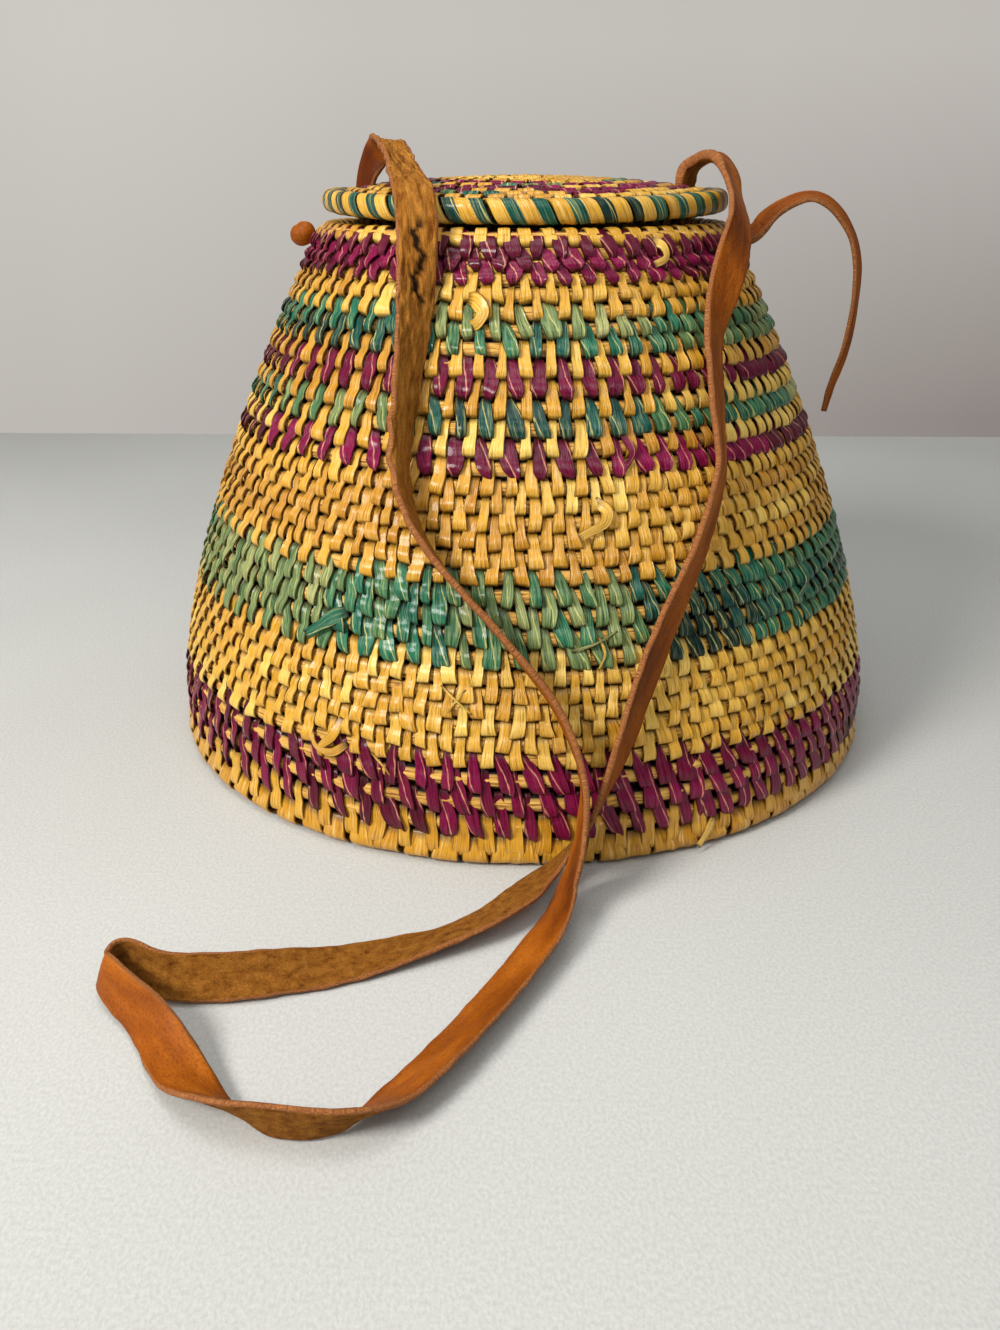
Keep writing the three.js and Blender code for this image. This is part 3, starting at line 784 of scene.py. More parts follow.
class Straw:
    """A mesh that strips are laid into, each with its own tone."""

    def __init__(self):
        self.bm = bmesh.new()
        self.tone = self.bm.verts.layers.float.new("tone")
        self.strip = self.bm.verts.layers.float.new("strip")
        self.count = 0

    def new_strip(self, pattern):
        """Copies a flat strip in. Gives its vertices, each with its place on the flat one."""
        mesh, places = pattern
        self.bm.from_mesh(mesh)
        self.bm.verts.ensure_lookup_table()
        first = self.count
        self.count += len(places)
        return zip([self.bm.verts[i] for i in range(first, self.count)], places)

    def lay(self, outline, head, foot, angle, lean, widths, rise, tone, twist=0.0, groove=0.0,
            pattern=SHORT_STRIP):
        """One strip on a turned outline, from a length along it to another.

        lean moves its foot round by an angle. widths and rise are rows of a share of its
        length and a value: the width in radians, and how far its underside stands out.
        """
        strip = rng.random()
        sway = rng.uniform(-0.16, 0.16)
        skew = rng.uniform(-0.4, 0.4)
        folds = (rng.uniform(-0.2, 0.1) - groove, rng.uniform(-0.2, 0.1) - groove)
        for vert, (u, v, w) in self.new_strip(pattern):
            width = curve_through(widths, u)
            out = curve_through(rise, u) + w * STRIP_THICKNESS + twist * v * (2 * u - 1)
            if abs(v) < STRIP_FOLD + 0.01:
                out += folds[v > 0]
            r, z = outline.at(lerp(head, foot, u) + skew * v * u, out)
            turn = angle + lean * (u - 0.5) + width * (v / 2 + sway * math.sin(math.pi * u))
            vert.co = (r * math.cos(turn) * MM, r * math.sin(turn) * MM, z * MM)
            vert[self.tone] = tone
            vert[self.strip] = strip

    def finish(self, name, material, body, slot, *nodes):
        for face in self.bm.faces:
            face.smooth = True
        add_piece(name, self.bm, [material], body, slot, *nodes)


def lid_rise(x, y):
    """How far the worn lid bends up at its two ends and at its back."""
    return LID_BOW * (x / LID_RADIUS) ** 2 + LID_BACK_RISE / 2 * (1 + y / LID_RADIUS)


def add_piece(name, bm, materials, body, slot, *nodes):
    """Makes an object of a bmesh, hangs it on its body if it has one, and hides the model's parts
    that it stands in for.
    """
    if body == "lid":
        for vert in bm.verts:
            vert.co.z += lid_rise(vert.co.x / MM, vert.co.y / MM) * MM
    mesh = bpy.data.meshes.new(name)
    bm.to_mesh(mesh)
    bm.free()
    for material in materials:
        mesh.materials.append(material)
    piece = bpy.data.objects.new(name, mesh)
    bpy.context.collection.objects.link(piece)
    if body:
        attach(piece, body)
    if nodes:
        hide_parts(*nodes)
    return piece


def next_columns(columns, count):
    """The angles of a course's stitches, each between two of the course above."""
    size = len(columns)
    middles = [columns[i] + ((columns[(i + 1) % size] - columns[i]) % TURN) / 2
               for i in range(size)]
    while len(middles) < count:
        i = rng.randrange(len(middles))
        step = (middles[(i + 1) % len(middles)] - middles[i]) % TURN
        middles.insert(i + 1, middles[i] + step / 2)
    while len(middles) > count:
        middles.pop(rng.randrange(len(middles)))
    for _ in range(6):
        size = len(middles)
        moved = []
        for i in range(size):
            before = (middles[i] - middles[i - 1]) % TURN
            after = (middles[(i + 1) % size] - middles[i]) % TURN
            moved.append(middles[i] + (after - before) * 0.25)
        middles = moved
    return middles


def run_tones(columns, range_at):
    """Tones round a course: one straw makes several stitches in a row, and then the next."""
    tones = []
    while len(tones) < len(columns):
        patch = range_at(columns[len(tones)])
        tone = rng.uniform(*patch)
        for angle in columns[len(tones):len(tones) + rng.randint(3, 11)]:
            if range_at(angle) != patch:
                break
            tones.append(min(max(tone + rng.uniform(-0.12, 0.12), 0), 1))
    return tones[:len(columns)]


# A stitch's width down its length, by its kind: a share of its length, then of its pitch
WIDTHS = {
    "natural": [(0, 0.38), (0.3, 0.46), (0.6, 0.5), (0.88, 0.56), (1, 0.5)],
    "magenta": [(0, 0.4), (0.2, 0.56), (0.5, 0.7), (0.8, 0.64), (1, 0.3)],
    "green": [(0, 0.36), (0.25, 0.5), (0.6, 0.6), (0.88, 0.56), (1, 0.4)],
    "hem": [(0, 0.26), (0.2, 0.38), (0.5, 0.5), (0.8, 0.5), (1, 0.34)],
    "foot": [(0, 0.6), (0.3, 0.8), (0.6, 0.88), (0.88, 0.9), (1, 0.88)],
}

# How far a stitch's underside stands out of the wall: a share of its length, then millimetres
RISE = [(0, -2.2), (0.06, -1.7), (0.18, -1.1), (0.34, -0.8), (0.48, -0.95), (0.58, -0.5),
        (0.68, -0.1), (0.8, 0.04), (0.9, -0.2), (0.96, -0.7), (1, -2.0)]
FOOT_RISE = [(0, -2.0), (0.18, -0.8), (0.34, -0.1), (0.5, 0.6), (0.6, 0.2), (0.7, 0), (0.9, -0.3),
             (1, -0.6)]

# The darkest and the palest tone of each dye, and of the stitches that are hardly seen
TONES = {"natural": (0.1, 0.95), "magenta": (0.05, 0.9), "green": (0.2, 0.95)}
UNSEEN_TONES = (0.1, 0.9)

# How far a stitch starts above the course that it is drawn through, and laps over its foot
HEAD_TUCK = 0.3
FOOT_LAP = 0.25

# Where the straw changes its shade round a band: from and to, in degrees with the front at -90,
# then the darkest and the palest tone there.
STRAW_PATCHES = {
    "upper_green_straw": [(-180, -112, 0.1, 0.5), (-112, -62, 0.74, 1), (-62, -20, 0.2, 0.85)],
    "upper_green_foot": [(-180, -112, 0.1, 0.6), (-112, -62, 0.2, 0.5), (-62, -20, 0.2, 0.85)],
    "lower_natural_straw": [(-180, 180, 0.42, 1)],
    "stripe_green_straw": [(-180, -108, 0.25, 0.8), (-108, -86, 0, 0.2), (-86, -50, 0.1, 0.5)],
    "belt_green_straw": [
        (-160, -119, 0.5, 0.98), (-119, -101, 0.32, 0.56), (-101, -73, 0.6, 0.86),
        (-73, -52, 0.02, 0.4), (-52, -30, 0.25, 0.55),
    ],
}


def tone_range(node, dye, angle):
    degrees = (math.degrees(angle) + 180) % 360 - 180
    for start, end, low, high in STRAW_PATCHES.get(node, []):
        if start <= degrees < end:
            return low, high
    return TONES[dye]


def near_hole(angle, course):
    """True where a stitch would lie over a hole that the strap comes out through."""
    aside = abs(math.sin(angle)) * MOUTH_RADIUS
    return course in HOLE_COURSES and aside < HOLE_HALF_WIDTH


def rim_outline(start, last_course):
    """The rim's section from an angle, in degrees, then down the wall to a course's end."""
    section = rounded_section(MOUTH_RADIUS - RIM_WIDTH / 2, BODY_HEIGHT - RIM_MIDDLE_DEPTH,
                              RIM_WIDTH / 2, RIM_HALF_HEIGHT, RIM_SQUARENESS, start, 20, 30)
    end = COURSE_ENDS[last_course] + 0.4
    steps = math.ceil((end - RIM_END) / 0.8)
    return Outline(section + [WALL.at(lerp(RIM_END, end, i / steps), 0) for i in range(steps + 1)])


def add_wall_stitches(finishes):
    columns = [TURN * i / RIM_STITCHES for i in range(RIM_STITCHES)]
    over_rim = rim_outline(100, 2)
    course = 1
    for node, dye, courses, _, count in BANDS:
        straw = Straw()
        for part in range(courses):
            course += 1
            shade = "upper_green_foot" if part == 1 and node == "upper_green_straw" else node
            columns = next_columns(columns, count)
            last = course == len(COURSE_ENDS) - 1
            in_hem = node == "hem_magenta_straw"
            shares = WIDTHS["foot" if last else "hem" if in_hem else dye]
            outline = WALL
            head = COURSE_ENDS[course - 2] - HEAD_TUCK
            foot = COURSE_ENDS[course] + FOOT_LAP
            if course == 2:
                outline = over_rim
                head = 0
                foot = outline.length
            tones = run_tones(columns, lambda angle: tone_range(shade, dye, angle))
            for angle, tone in zip(columns, tones):
                if near_hole(angle, course):
                    continue
                pitch = TURN / count * rng.uniform(0.8, 1.14)
                if rng.random() < 0.05:
                    pitch *= 1.35
                pinch = rng.uniform(0.8, 1.15)
                if last:
                    pinch = 1
                    pitch = TURN / count * rng.uniform(0.98, 1.06)
                widths = [(u, share * pitch * (pinch if u < 0.7 else 1)) for u, share in shares]
                twist = rng.uniform(-0.35, 0.35) if dye == "natural" else rng.uniform(0.15, 0.8)
                lean = pitch * rng.uniform(-0.22, 0.22)
                if dye != "natural":
                    lean += pitch * (rng.uniform(0.05, 0.35) + 0.1 * in_hem)
                lift = rng.uniform(-0.18, 0.16)
                rise = [(u, value + lift) for u, value in (FOOT_RISE if last else RISE)]
                groove = max(rng.uniform(-0.3, 0.35), 0)
                straw.lay(outline, head + rng.uniform(-0.3, 0.3), foot + rng.uniform(-0.35, 0.3),
                          angle, lean, widths, rise, tone, twist, groove)
        straw.finish(node.replace("straw", "stitches"), finishes[dye], "basket", dye + "_straw",
                     node)


def add_rim_wraps(finishes):
    """The topmost course: wide natural wraps over the rim, from inside to outside."""
    outline = rim_outline(205, 1)
    straw = Straw()
    columns = [TURN * i / RIM_STITCHES for i in range(RIM_STITCHES)]
    tones = run_tones(columns, lambda angle: TONES["natural"])
    for angle, tone in zip(columns, tones):
        pitch = TURN / RIM_STITCHES * rng.uniform(0.92, 1.08)
        widths = [(0, pitch * 0.6), (0.5, pitch * 0.6), (0.9, pitch * 0.64), (1, pitch * 0.5)]
        rise = [(0, -1.4), (0.08, -0.7), (0.9, -0.55), (0.96, -0.9), (1, -1.8)]
        straw.lay(outline, 0, outline.length, angle, pitch * 0.3, widths, rise, tone,
                  pattern=LONG_STRIP)
    straw.finish("rim_wraps", finishes["natural"], "basket", "natural_straw", "rim_binding")


def add_lid_edge_wraps(finishes):
    """The lid's last course: wraps of natural and of green straw by turns."""
    half_wide = LID_EDGE_WIDTH / 2
    half_tall = LID_EDGE_HEIGHT / 2
    outline = Outline(rounded_section(LID_RADIUS - half_wide, LID_BOTTOM + half_tall, half_wide,
                                      half_tall, LID_EDGE_SQUARENESS, 150, -210, 60))
    pitch = TURN / LID_EDGE_PAIRS / 2
    for dye, shift in (("natural", 0), ("green", 1)):
        straw = Straw()
        low, high = (0.4, 0.95) if dye == "natural" else (0.0, 0.34)
        for i in range(LID_EDGE_PAIRS):
            angle = (2 * i + shift) * pitch + rng.uniform(-0.08, 0.08) * pitch
            wide = pitch * (1.16 if dye == "natural" else 1.02) * rng.uniform(0.92, 1.08)
            widths = [(0, wide * 0.9), (0.5, wide), (1, wide * 0.9)]
            rise = [(0, -1.4), (0.06, -0.8), (0.5, -0.65), (0.94, -0.8), (1, -1.4)]
            straw.lay(outline, 0, outline.length, angle, pitch * 2.3, widths, rise,
                      rng.uniform(low, high), pattern=LONG_STRIP)
        straw.finish("lid_edge_wraps_" + dye, finishes[dye], "lid", dye + "_straw",
                     "lid_edge_binding")


def over_slot(angle, head, foot):
    """True where a stitch on the lid, from one radius to another, would lie over a slot."""
    for side in (-1, 1):
        for step in range(5):
            r = lerp(head, foot, step / 4)
            x = r * math.cos(angle) - side * SLOT_RADIUS
            y = r * math.sin(angle)
            through = -side * math.cos(SLOT_TURN) * x + math.sin(SLOT_TURN) * y
            across = math.sin(SLOT_TURN) * x + side * math.cos(SLOT_TURN) * y
            if abs(through) < SLOT_HALF_HEIGHT and abs(across) < STRAP_WIDTH / 2 + SLOT_SPARE:
                return True
    return False


# The stitches on the lid's top: their dye, and the node that they stand for
LID_STITCHES = {
    "lid_centre_stitches": ("natural", "lid_centre_straw"),
    "lid_magenta_stitches": ("magenta", "lid_magenta_straw"),
    "lid_green_stitches": ("green", "lid_magenta_straw"),
    "lid_outer_stitches": ("natural", "lid_outer_straw"),
}


def add_lid_stitches(finishes):
    rings = round(LID_COIL_RADIUS / LID_COURSE)
    ends = [LID_COIL_RADIUS * i / rings for i in range(rings + 1)]
    straws = {name: Straw() for name in LID_STITCHES}
    straw_rise = [(u, value + 0.4) for u, value in RISE]
    for ring in range(1, rings + 1):
        head = ends[max(ring - 2, 0)] + (0.6 if ring < 3 else -0.2)
        foot = ends[ring] + 0.2
        count = max(6, round(TURN * ends[ring] / LID_STITCH_PITCH))
        pitch = TURN / count
        near = pitch * foot / max(head, (head + foot) / 2 * 0.6)
        widths = [(0, near * 0.5), (0.5, pitch * 0.76), (0.9, pitch * 0.8), (1, pitch * 0.66)]
        tones = run_tones(range(count), lambda _: TONES["natural"])
        start = rng.uniform(0, TURN)
        for i in range(count):
            angle = start + pitch * (i + rng.uniform(-0.08, 0.08))
            if over_slot(angle, head, foot):
                continue
            kind = "outer"
            if ends[ring] <= LID_CENTRE_RADIUS:
                kind = "centre"
            elif ends[ring] <= LID_DYED_RADIUS and (i // 3 + ring) % 3 > 0:
                kind = "green" if (i // 9 + ring) % 8 == 0 else "magenta"
            straws["lid_" + kind + "_stitches"].lay(
                LID_TOP, head, foot, angle, pitch * rng.uniform(-0.1, 0.2), widths, straw_rise,
                tones[i], 0.1)
    for name, (dye, node) in LID_STITCHES.items():
        straws[name].finish(name, finishes[dye], "lid", dye + "_straw", node)


# Loose ends and splices on the wall: dye, tone, width, then angle in degrees, height and how far
# out, for each place along it.
LOOSE_BITS = [
    ("natural", 0.75, 3.4, [(-78.4, 95.6, -0.6), (-76.9, 93.6, 1.2), (-77.4, 90.9, 2),
                            (-79.6, 89, 1.8), (-81.4, 87.4, 1.4)]),
    ("natural", 0.6, 2.8, [(-115.6, 37.6, -0.8), (-116.4, 33.2, 1.2), (-118.2, 29.4, 1.6),
                           (-118.8, 26, -0.4)]),
    ("natural", 0.5, 2.6, [(-114.6, 30.8, -0.8), (-116.4, 28.6, 1.2), (-118.8, 29.4, 1.6),
                           (-120.4, 31.6, -0.4)]),
    ("natural", 0.7, 4.4, [(-101.6, 143.6, -0.6), (-99.8, 143.2, 1), (-98.2, 140.6, 1.6),
                           (-99.2, 138, 0.8), (-100.6, 137, -0.8)]),
    ("natural", 0.85, 2.8, [(-57.4, 157.2, -0.8), (-56, 155.4, 1), (-56.4, 152.8, 1.4),
                            (-59, 151.2, -0.2)]),
    ("natural", 0.8, 2.8, [(-62, 8.4, -0.6), (-63.6, 5.2, 1), (-65.4, 2.4, 2.4)]),
    ("green", 0.4, 4.2, [(-116.8, 65.4, -0.8), (-118.4, 64, 1), (-120.4, 61.2, 1.8),
                         (-122.4, 58.4, 2.2)]),
    ("green", 0.9, 0.8, [(-83, 59.6, 0.2), (-79.8, 61.6, 1.4), (-76.4, 64, 0.4)]),
    ("natural", 0.95, 0.7, [(-101, 50.3, 0), (-98.7, 47.2, 1.2), (-96.6, 43.6, 0.2)]),
    ("natural", 0.9, 0.7, [(-97.6, 49.6, 0), (-99.2, 46, 1.2), (-100.2, 42.6, 0)]),
    ("natural", 0.8, 0.8, [(-79, 62.8, 0), (-78.4, 58.9, 1.2), (-79.2, 54.6, 0)]),
    ("natural", 0.7, 0.7, [(-110.6, 30.2, 0), (-108.4, 27.6, 1.2), (-107.6, 24.6, 0)]),
    ("green", 0.35, 2.4, [(-39.8, 72.4, -0.6), (-38.9, 66.4, 1), (-42.8, 60.8, -0.4)]),
    ("magenta", 0.7, 2.2, [(-72.4, 110.6, -0.6), (-71.4, 106.8, 0.8), (-73, 102.6, -0.4)]),
]


def wall_radius(height):
    """The wall's radius at a height."""
    return flare(min(max((BODY_HEIGHT - height) / (BODY_HEIGHT - BELLY_HEIGHT), 0), 1))


def add_loose_bits(finishes):
    for dye in ("natural", "green", "magenta"):
        straw = Straw()
        for kind, tone, width, spots in LOOSE_BITS:
            if kind != dye:
                continue
            route = []
            for degrees, height, out in spots:
                angle = math.radians(degrees)
                r = wall_radius(height) + out
                route.append(Vector((r * math.cos(angle), r * math.sin(angle), height)))
            thickness = min(LOOSE_THICKNESS, width / 2)
            for vert, (u, v, w) in straw.new_strip(LONG_STRIP):
                span = u * (len(route) - 1)
                row = min(int(span), len(route) - 2)
                place = spline_value(route, row, span - row, True)
                ahead = spline_value(route, row, min(span - row + 0.02, 1), True)
                behind = spline_value(route, row, max(span - row - 0.02, 0), True)
                on = (ahead - behind).normalized()
                out = Vector((place.x, place.y, 0)).normalized()
                across = on.cross(out).normalized()
                taper = 0.7 + 0.3 * math.sin(math.pi * min(u * 1.6, 1))
                vert.co = (place + across * v * width / 2 * taper
                           + across.cross(on) * w * thickness) * MM
                vert[straw.tone] = tone
                vert[straw.strip] = (tone * 7.3 + width) % 1
        bmesh.ops.recalc_face_normals(straw.bm, faces=straw.bm.faces)
        straw.finish("loose_" + dye + "_bits", finishes[dye], "basket", dye + "_straw")


# The coils of grass under the stitches

# The radius of a bundle in the wall, the base and the lid, and how deep it lies
WALL_BUNDLE = 2.45
WALL_BUNDLE_DEPTH = 0.85
HEM_BUNDLE_DEPTH = 0.45
HEM_START = 0.81
HEM_END = 0.938
BASE_BUNDLE = 2.5
BASE_BUNDLE_HEIGHT = 3.6
BASE_RINGS = 24
BASE_COURSE = 4.6
LID_BUNDLE = 2.3
LID_BUNDLE_DEPTH = 3.6


def add_coils(name, middles, tube, out_ways, steps, material, body, node):
    """Rings of grass bundle, spun round the axis. out_ways says where each is open to view."""
    bm = bmesh.new()
    hollow_shade = bm.verts.layers.float.new("hollow_shade")
    sides = 10
    for (r, z), (out_r, out_z) in zip(middles, out_ways):
        ring = bmesh.ops.create_circle(bm, segments=sides, radius=1)["verts"]
        for vert in ring:
            x, y = vert.co.x, vert.co.y
            # Painted shade for the grass: most on the sides of the ring that turn away from where
            # it is open to view.
            vert[hollow_shade] = 1 - abs(x * out_r + y * out_z)
            vert.co = ((r + x * tube) * MM, 0, (z + y * tube) * MM)
    bmesh.ops.spin(bm, geom=bm.verts[:] + bm.edges[:], axis=(0, 0, 1), cent=(0, 0, 0),
                   angle=TURN, steps=steps, use_merge=True, dvec=(0, 0, 0))
    for vert in bm.verts:
        wobble = noise.noise(vert.co * 70) * 0.25 * MM
        vert.co.z += wobble
        vert.co.xy *= 1 + wobble / max(vert.co.xy.length, 0.01)
    bmesh.ops.recalc_face_normals(bm, faces=bm.faces)
    for face in bm.faces:
        face.smooth = True
    add_piece(name, bm, [material], body, "grass_bundle", node)


def add_grass(finishes):
    grass = finishes["grass"]
    middles = []
    ways = []
    for top, bottom in zip(COURSE_ENDS, COURSE_ENDS[1:]):
        along = (top + bottom) / 2
        in_hem = HEM_START < along / WALL.length < HEM_END
        depth = HEM_BUNDLE_DEPTH if in_hem else WALL_BUNDLE_DEPTH
        place = WALL.at(along, -WALL_BUNDLE - depth)
        face = WALL.at(along, 0)
        size = math.dist(place, face)
        middles.append(place)
        ways.append(((face[0] - place[0]) / size, (face[1] - place[1]) / size))
    add_coils("wall_grass", middles[:-1], WALL_BUNDLE, ways[:-1], 120, grass, "basket",
              "wall_coil")
    middles = [(BASE_COURSE * (i + 0.5), BASE_BUNDLE_HEIGHT) for i in range(BASE_RINGS)]
    ways = [(0, 1)] * BASE_RINGS
    add_coils("base_grass", middles, BASE_BUNDLE, ways, 96, grass, "basket", "base_coil")
    rings = round(LID_COIL_RADIUS / LID_COURSE)
    middles = []
    for i in range(rings):
        r = LID_COIL_RADIUS * (i + 0.5) / rings
        middles.append((r, crown(r) - LID_BUNDLE_DEPTH))
    add_coils("lid_grass", middles, LID_BUNDLE, [(0, 1)] * rings, 96, grass, "lid", "lid_coil")


# The stitches of the base and of the inside: their height or depth, and their pitch
BASE_STITCH_HEIGHT = 0.95
BASE_STITCH_PITCH = 8.4
INNER_STITCH_DEPTH = 0.3
INNER_STITCH_PITCH = 6
INNER_COURSES = 12


def add_ring_stitches(name, outline, ends, pitch, node, finishes):
    """Rings of natural stitches on a flat coil or inside the wall, one ring to a course."""
    straw = Straw()
    for head, foot in zip(ends, ends[1:]):
        r = outline.at((head + foot) / 2, 0)[0]
        count = max(6, round(TURN * r / pitch))
        step = TURN / count
        turned = TURN * rng.random()
        tones = run_tones(range(count), lambda _: UNSEEN_TONES)
        for i, tone in enumerate(tones):
            widths = [(u, share * step * rng.uniform(0.9, 1.1)) for u, share in WIDTHS["natural"]]
            straw.lay(outline, head - 1.6, foot + 0.2, turned + step * i, step * 0.1, widths, RISE,
                      tone)
    straw.finish(name, finishes["natural"], "basket", "natural_straw", node)


def add_base_stitches(finishes):
    """The base from below: rings of natural stitches, from the foot in to the middle."""
    rings = 22
    outer = FOOT_RADIUS - FOOT_ROUND - FOOT_INSET
    outline = Outline([(outer - step, BASE_STITCH_HEIGHT) for step in range(111)])
    ends = [2 + 106 * step / rings for step in range(rings + 1)]
    add_ring_stitches("base_stitches", outline, ends, BASE_STITCH_PITCH, "base_coil", finishes)


def add_inner_stitches(finishes):
    """The inside of the wall, as far down as it can be seen past the rim."""
    inside = -WALL_THICKNESS - INNER_STITCH_DEPTH
    down = [WALL.at(end, inside) for end in COURSE_ENDS[:INNER_COURSES + 2]]
    outline = Outline(down[::-1])
    size = outline.length - 4
    ends = [2 + size * step / INNER_COURSES for step in range(INNER_COURSES + 1)]
    add_ring_stitches("inner_stitches", outline, ends, INNER_STITCH_PITCH, "wall_coil", finishes)


# The leather: the strap, its two ends inside, its tail and its knots


def spline_value(points, i, t, centripetal):
    """A point of the smooth line through points, a share t of the way from row i to the next."""
    first, second = points[i], points[i + 1]
    before = points[i - 1] if i > 0 else first * 2 - second
    after = points[i + 2] if i + 2 < len(points) else second * 2 - first
    if centripetal:
        d0 = math.sqrt((first - before).length)
        d1 = math.sqrt((second - first).length)
        d2 = math.sqrt((after - second).length)
        t0 = ((first - before) / d0 - (second - before) / (d0 + d1) + (second - first) / d1) * d1
        t1 = ((second - first) / d1 - (after - first) / (d1 + d2) + (after - second) / d2) * d1
    else:
        t0 = (second - before) / 2
        t1 = (after - first) / 2
    bend = first * -3 + second * 3 - t0 * 2 - t1
    turn = first * 2 - second * 2 + t0 + t1
    return first + t0 * t + bend * t * t + turn * t * t * t


def leather_rows(route, spacing):
    """Rows along a strip: its middle, the ways on, across and out of the grain, and how far."""
    places = [Vector(row[:3]) for row in route]
    facings = [Vector(row[3:]) for row in route]
    spots = []
    for i in range(len(route) - 1):
        steps = max(2, math.ceil((places[i + 1] - places[i]).length / spacing))
        spots += [(i, step / steps) for step in range(steps)]
    spots.append((len(route) - 2, 1.0))
    rows = []
    along = 0.0
    last = None
    for i, t in spots:
        place = spline_value(places, i, t, True)
        ahead = spline_value(places, i, min(t + 0.01, 1.0), True)
        behind = spline_value(places, i, max(t - 0.01, 0.0), True)
        on = (ahead - behind).normalized()
        across = on.cross(spline_value(facings, i, t, False)).normalized()
        if last is not None:
            along += (place - last).length
        last = place
        rows.append((place, on, across, across.cross(on), along))
    return rows


def strap_section(width, thickness):
    """A strap's section, from its grain side round: a place across, a height and a finish."""
    half = width / 2
    face = thickness / 2
    cut = 0.5
    bulge = 0.08
    drop = 0.36
    across = [-1, -0.9, -0.76, -0.6, -0.45, -0.3, -0.15, 0, 0.15, 0.3, 0.45, 0.6, 0.76, 0.9, 1]
    top = [(share * (half - cut), face, 0) for share in reversed(across)]
    left = [(-half + bulge, face - drop, 2), (-half, 0, 2), (-half + bulge, -face + drop, 2)]
    under = [(share * (half - cut), -face, 1) for share in across]
    right = [(half - bulge, -face + drop, 2), (half, 0, 2), (half - bulge, face - drop, 2)]
    return top + left + under + right


def even(share):
    """For a strip that isn't cupped or wrinkled."""
    return 0


def leather_strip(name, rows, width_at, thickness_at, finishes, curl_at=even, crease_at=even,
                  painted_shade_at=None, ruffle=0.3):
    """A strip drawn along its rows: curl_at cups it, crease_at wrinkles it, painted_shade_at paints
    shade on it.
    """
    bm = bmesh.new()
    dark = bm.verts.layers.float.new("dark")
    surface = bm.loops.layers.uv.new("surface")
    sample = strap_section(STRAP_WIDTH, STRAP_THICKNESS)
    ring = len(sample)
    total = rows[-1][4]
    wheres = {}
    for vert, station, turn in roll_grid(bm, len(rows), ring, closed=False):
        place, on, across, grain, along = rows[station]
        share = along / total
        section = strap_section(width_at(share), thickness_at(share))
        x, y, _ = section[turn % ring]
        half = width_at(share) / 2
        edge = (x / half) ** 2
        uneven = noise.noise(Vector((along * 0.22, x * 0.9, y))) * ruffle
        fold = curl_at(share) * edge * half * 0.35
        side = x + uneven * edge * math.copysign(1, x)
        lift = y + fold + noise.noise(Vector((along * 0.1, x * 0.35, 7))) * ruffle * 0.7
        if crease_at(share):
            wrinkle = abs(noise.noise(Vector((along * 0.18, x * 0.9, 11))))
            lift += (wrinkle - 0.25) * crease_at(share)
        if painted_shade_at is not None:
            vert[dark] = painted_shade_at(along, x / half)
            lift += vert[dark] * 0.45
        vert.co = (place + across * side + grain * lift) * MM
        wheres[vert] = (turn, along)
    for face in bm.faces:
        turns = [wheres[loop.vert][0] for loop in face.loops]
        middle = (min(turns) + max(turns)) // 2 % ring
        kinds = {sample[t % ring][2] for t in turns}
        face.material_index = 2 if 2 in kinds else sample[middle][2]
        face.smooth = True
        for loop in face.loops:
            turn, along = wheres[loop.vert]
            loop[surface].uv = (sample[turn % ring][0] * 0.1 + (turn // ring), along * 0.1)
    close_tube(bm)
    return add_piece(name, bm, [finishes["grain"], finishes["suede"], finishes["cut"]], None,
                     "strap_leather")


def add_strap(finishes):
    rows = leather_rows(STRAP_ROUTE, 1.1)

    def width_at(share):
        arch = between(share, 0.008, 0.012, 0.07, 0.02)
        return STRAP_WIDTH - 2 * arch + 0.35 * noise.noise(Vector((share * 40, 0, 3)))

    def thickness_at(share):
        arch = between(share, 0.955, 0.012, 0.998, 0.006)
        laid = between(share, 0.3, 0.03, 0.74, 0.03)
        return (STRAP_THICKNESS + 1.2 * arch - 0.4 * laid
                + 0.15 * noise.noise(Vector((share * 50, 9, 3))))

    def curl_at(share):
        arch = max(1 - abs(share - 0.04) / 0.03, 0)
        return -0.9 * arch + 0.25 * max(1 - abs(share - 0.085) / 0.03, 0)

    def crease_at(share):
        return 0.3 + 1.7 * between(share, 0.015, 0.02, 0.22, 0.05)

    # Painted shade: along the crack, and on the left run where it lies in the shade of the arch.
    def painted_shade_at(along, side):
        crack = CRACK_MIDDLE + 0.22 * math.sin(along * 0.55) + 0.1 * math.sin(along * 1.7)
        shown = between(along, CRACK_START, 4, CRACK_END, 4)
        leg = 0.7 * eased((DARK_LEG - along) / 5)
        return max(shown * min(1.6 - abs(side - crack) / 0.16, 1), leg, 0)

    strap = leather_strip("strap_leather", rows, width_at, thickness_at, finishes, curl_at,
                          crease_at, painted_shade_at)
    path = [tuple(row[0] * MM) for row in rows]
    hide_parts("leather_strap")
    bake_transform(strap)
    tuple(path[0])

    rows = leather_rows(TAIL_ROUTE, 1.2)

    def tail_width(share):
        return lerp(TAIL_WIDTH, TAIL_TIP_WIDTH, share)

    def tail_thickness(share):
        return lerp(STRAP_THICKNESS, TAIL_TIP_THICKNESS, share)

    tail = leather_strip("tail_leather", rows, tail_width, tail_thickness, finishes, ruffle=0.35)
    path = [tuple(row[0] * MM) for row in rows]
    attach(tail, "basket")
    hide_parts("strap_tail")
    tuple(path[0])


# The strap's ends: where down the wall's line they come out, their width there, the radius of
# their bend and how high they start
THREAD_SHARE = 0.037
THREAD_WIDTH = 6
THREAD_TURN = 5
THREAD_TOP = 167.2

# The knots: the left one's middle and half sizes, and the right one's thickness at its two ends
LEFT_KNOT_X = -69
LEFT_KNOT_Z = 156.4
LEFT_KNOT_HALVES = (4, 3.5, 3.6)
RIGHT_KNOT_THICKNESS = (2.6, 1.9)


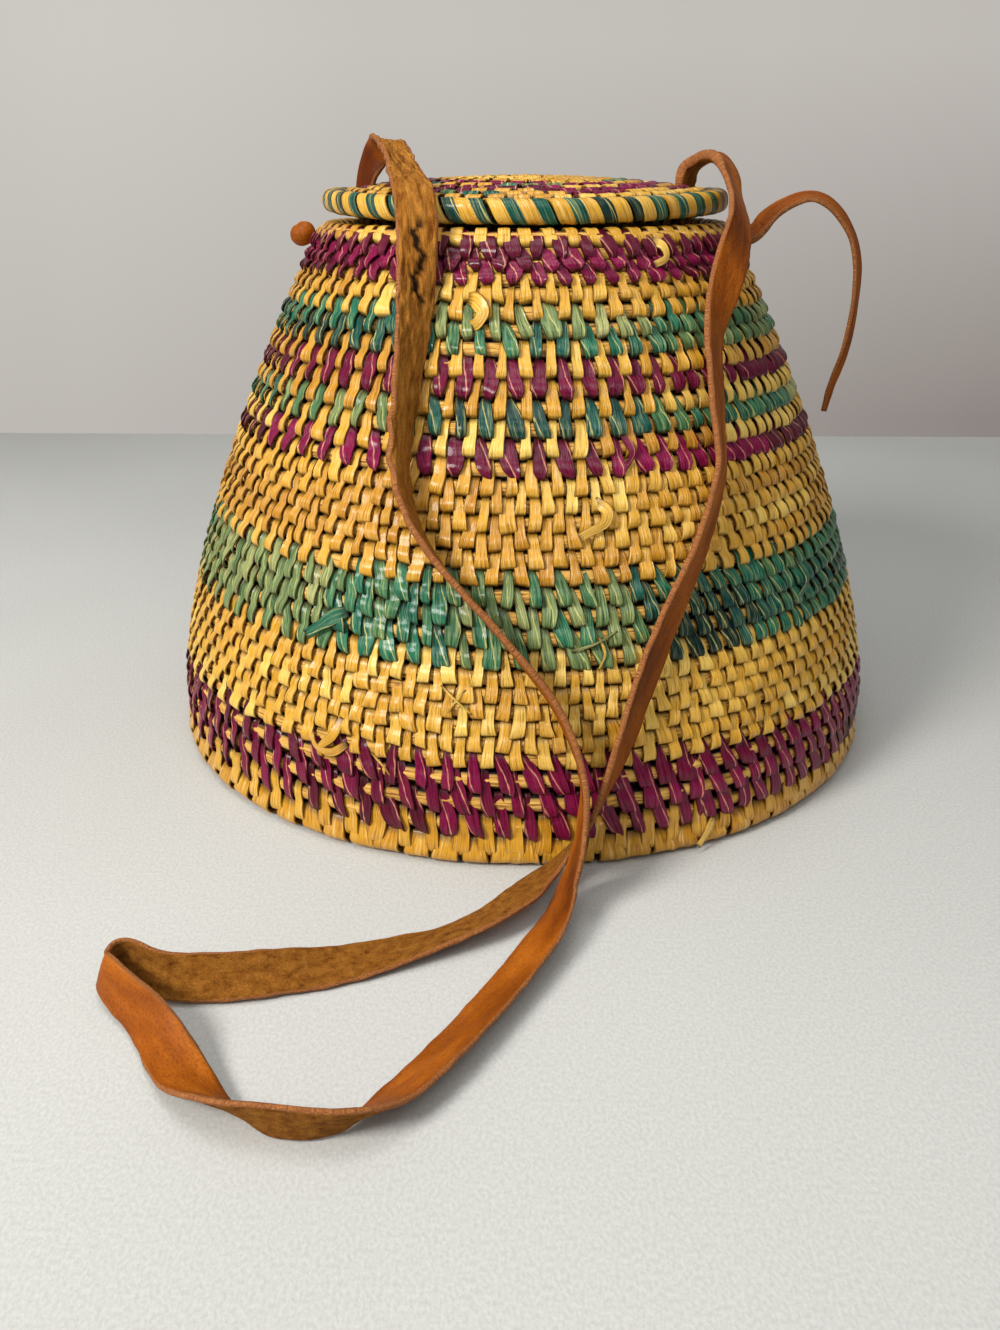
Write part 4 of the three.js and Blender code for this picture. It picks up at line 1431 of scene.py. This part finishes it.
def add_strap_end(finishes, side):
    """A strap's end inside: down through its slot, round a bend and out through the wall."""
    face = WALL.at(THREAD_SHARE * WALL.length, 0)
    back = WALL.at(THREAD_SHARE * WALL.length, -WALL_THICKNESS)
    slope = math.atan2(face[1] - back[1], face[0] - back[0])
    turn_x = SLOT_RADIUS + THREAD_TURN
    leave_x = turn_x + THREAD_TURN * math.sin(slope)
    leave_z = back[1] - (back[0] - leave_x) * math.tan(slope)
    turn_z = leave_z + THREAD_TURN * math.cos(slope)
    facing = (-side * math.cos(SLOT_TURN), math.sin(SLOT_TURN), 0)
    route = [(side * SLOT_RADIUS, 0, z, *facing) for z in (THREAD_TOP, LID_BOTTOM)]
    for step in range(6):
        angle = lerp(-math.pi / 2, slope, step / 5)
        route.append((side * (turn_x + THREAD_TURN * math.sin(angle)), 0,
                      turn_z - THREAD_TURN * math.cos(angle),
                      side * math.sin(angle), 0, -math.cos(angle)))
    for r, z in (back, face):
        route.append((side * r, 0, z, side * math.sin(slope), 0, -math.cos(slope)))

    def width_at(share):
        return lerp(STRAP_WIDTH, THREAD_WIDTH, eased((share - 0.2) / 0.5))

    name = "left" if side < 0 else "right"
    end = leather_strip("strap_end_leather_" + name, leather_rows(route, 1.2), width_at,
                        lambda share: STRAP_THICKNESS, finishes)
    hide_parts("strap_end_" + name)
    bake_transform(end)


def add_left_knot(finishes):
    """A round nub of leather drawn tight, with the folds of the knot in it."""
    bm = bmesh.new()
    surface = bm.loops.layers.uv.new("surface")
    bmesh.ops.create_icosphere(bm, subdivisions=4, radius=1)
    wide, deep, tall = LEFT_KNOT_HALVES
    for vert in bm.verts:
        x, y, z = vert.co
        seam = 1 - 0.08 * math.exp(-((x * 0.75 + z * 0.55 - 0.15) / 0.16) ** 2)
        dent = 1 + 0.06 * noise.noise(vert.co * 1.3)
        vert.co = Vector((LEFT_KNOT_X + x * wide * seam * dent, y * deep * seam * dent,
                          LEFT_KNOT_Z + z * tall * seam * dent + x * 0.5)) * MM
    for face in bm.faces:
        face.smooth = True
        for loop in face.loops:
            place = loop.vert.co / MM
            loop[surface].uv = (place.y * 0.1 + place.x * 0.04, place.z * 0.1)
    add_piece("knot_left", bm, [finishes["grain"]], "basket", "strap_leather", "strap_knot_left")


def add_right_knot(finishes):
    """The right knot, drawn out flat: the broad root that the tail stands out of."""
    route = [
        (64.4, 0, 154.2, -0.4, -0.2, 0.9),
        (67.5, 0, 154.8, -0.4, -0.2, 0.9),
        (70.9, 0, 156.6, -0.6, -0.3, 0.7),
        (73.6, 0, 159.5, -0.75, -0.35, 0.55),
    ]

    def width_at(share):
        return lerp(THREAD_WIDTH, TAIL_WIDTH, eased(share * 2))

    knot = leather_strip("knot_right", leather_rows(route, 1.0), width_at,
                         lambda share: lerp(*RIGHT_KNOT_THICKNESS, share), finishes)
    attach(knot, "basket")
    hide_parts("strap_knot_right")


# Putting it together

rng = random.Random(11)
add_camera()
add_light()
add_stage()
finishes = add_finishes()
add_strap(finishes)
for side in (-1, 1):
    add_strap_end(finishes, side)
add_left_knot(finishes)
add_right_knot(finishes)
add_grass(finishes)
add_wall_stitches(finishes)
add_rim_wraps(finishes)
add_base_stitches(finishes)
add_inner_stitches(finishes)
add_loose_bits(finishes)
add_lid_edge_wraps(finishes)
add_lid_stitches(finishes)

bpy.context.scene.view_settings.view_transform = "Standard"
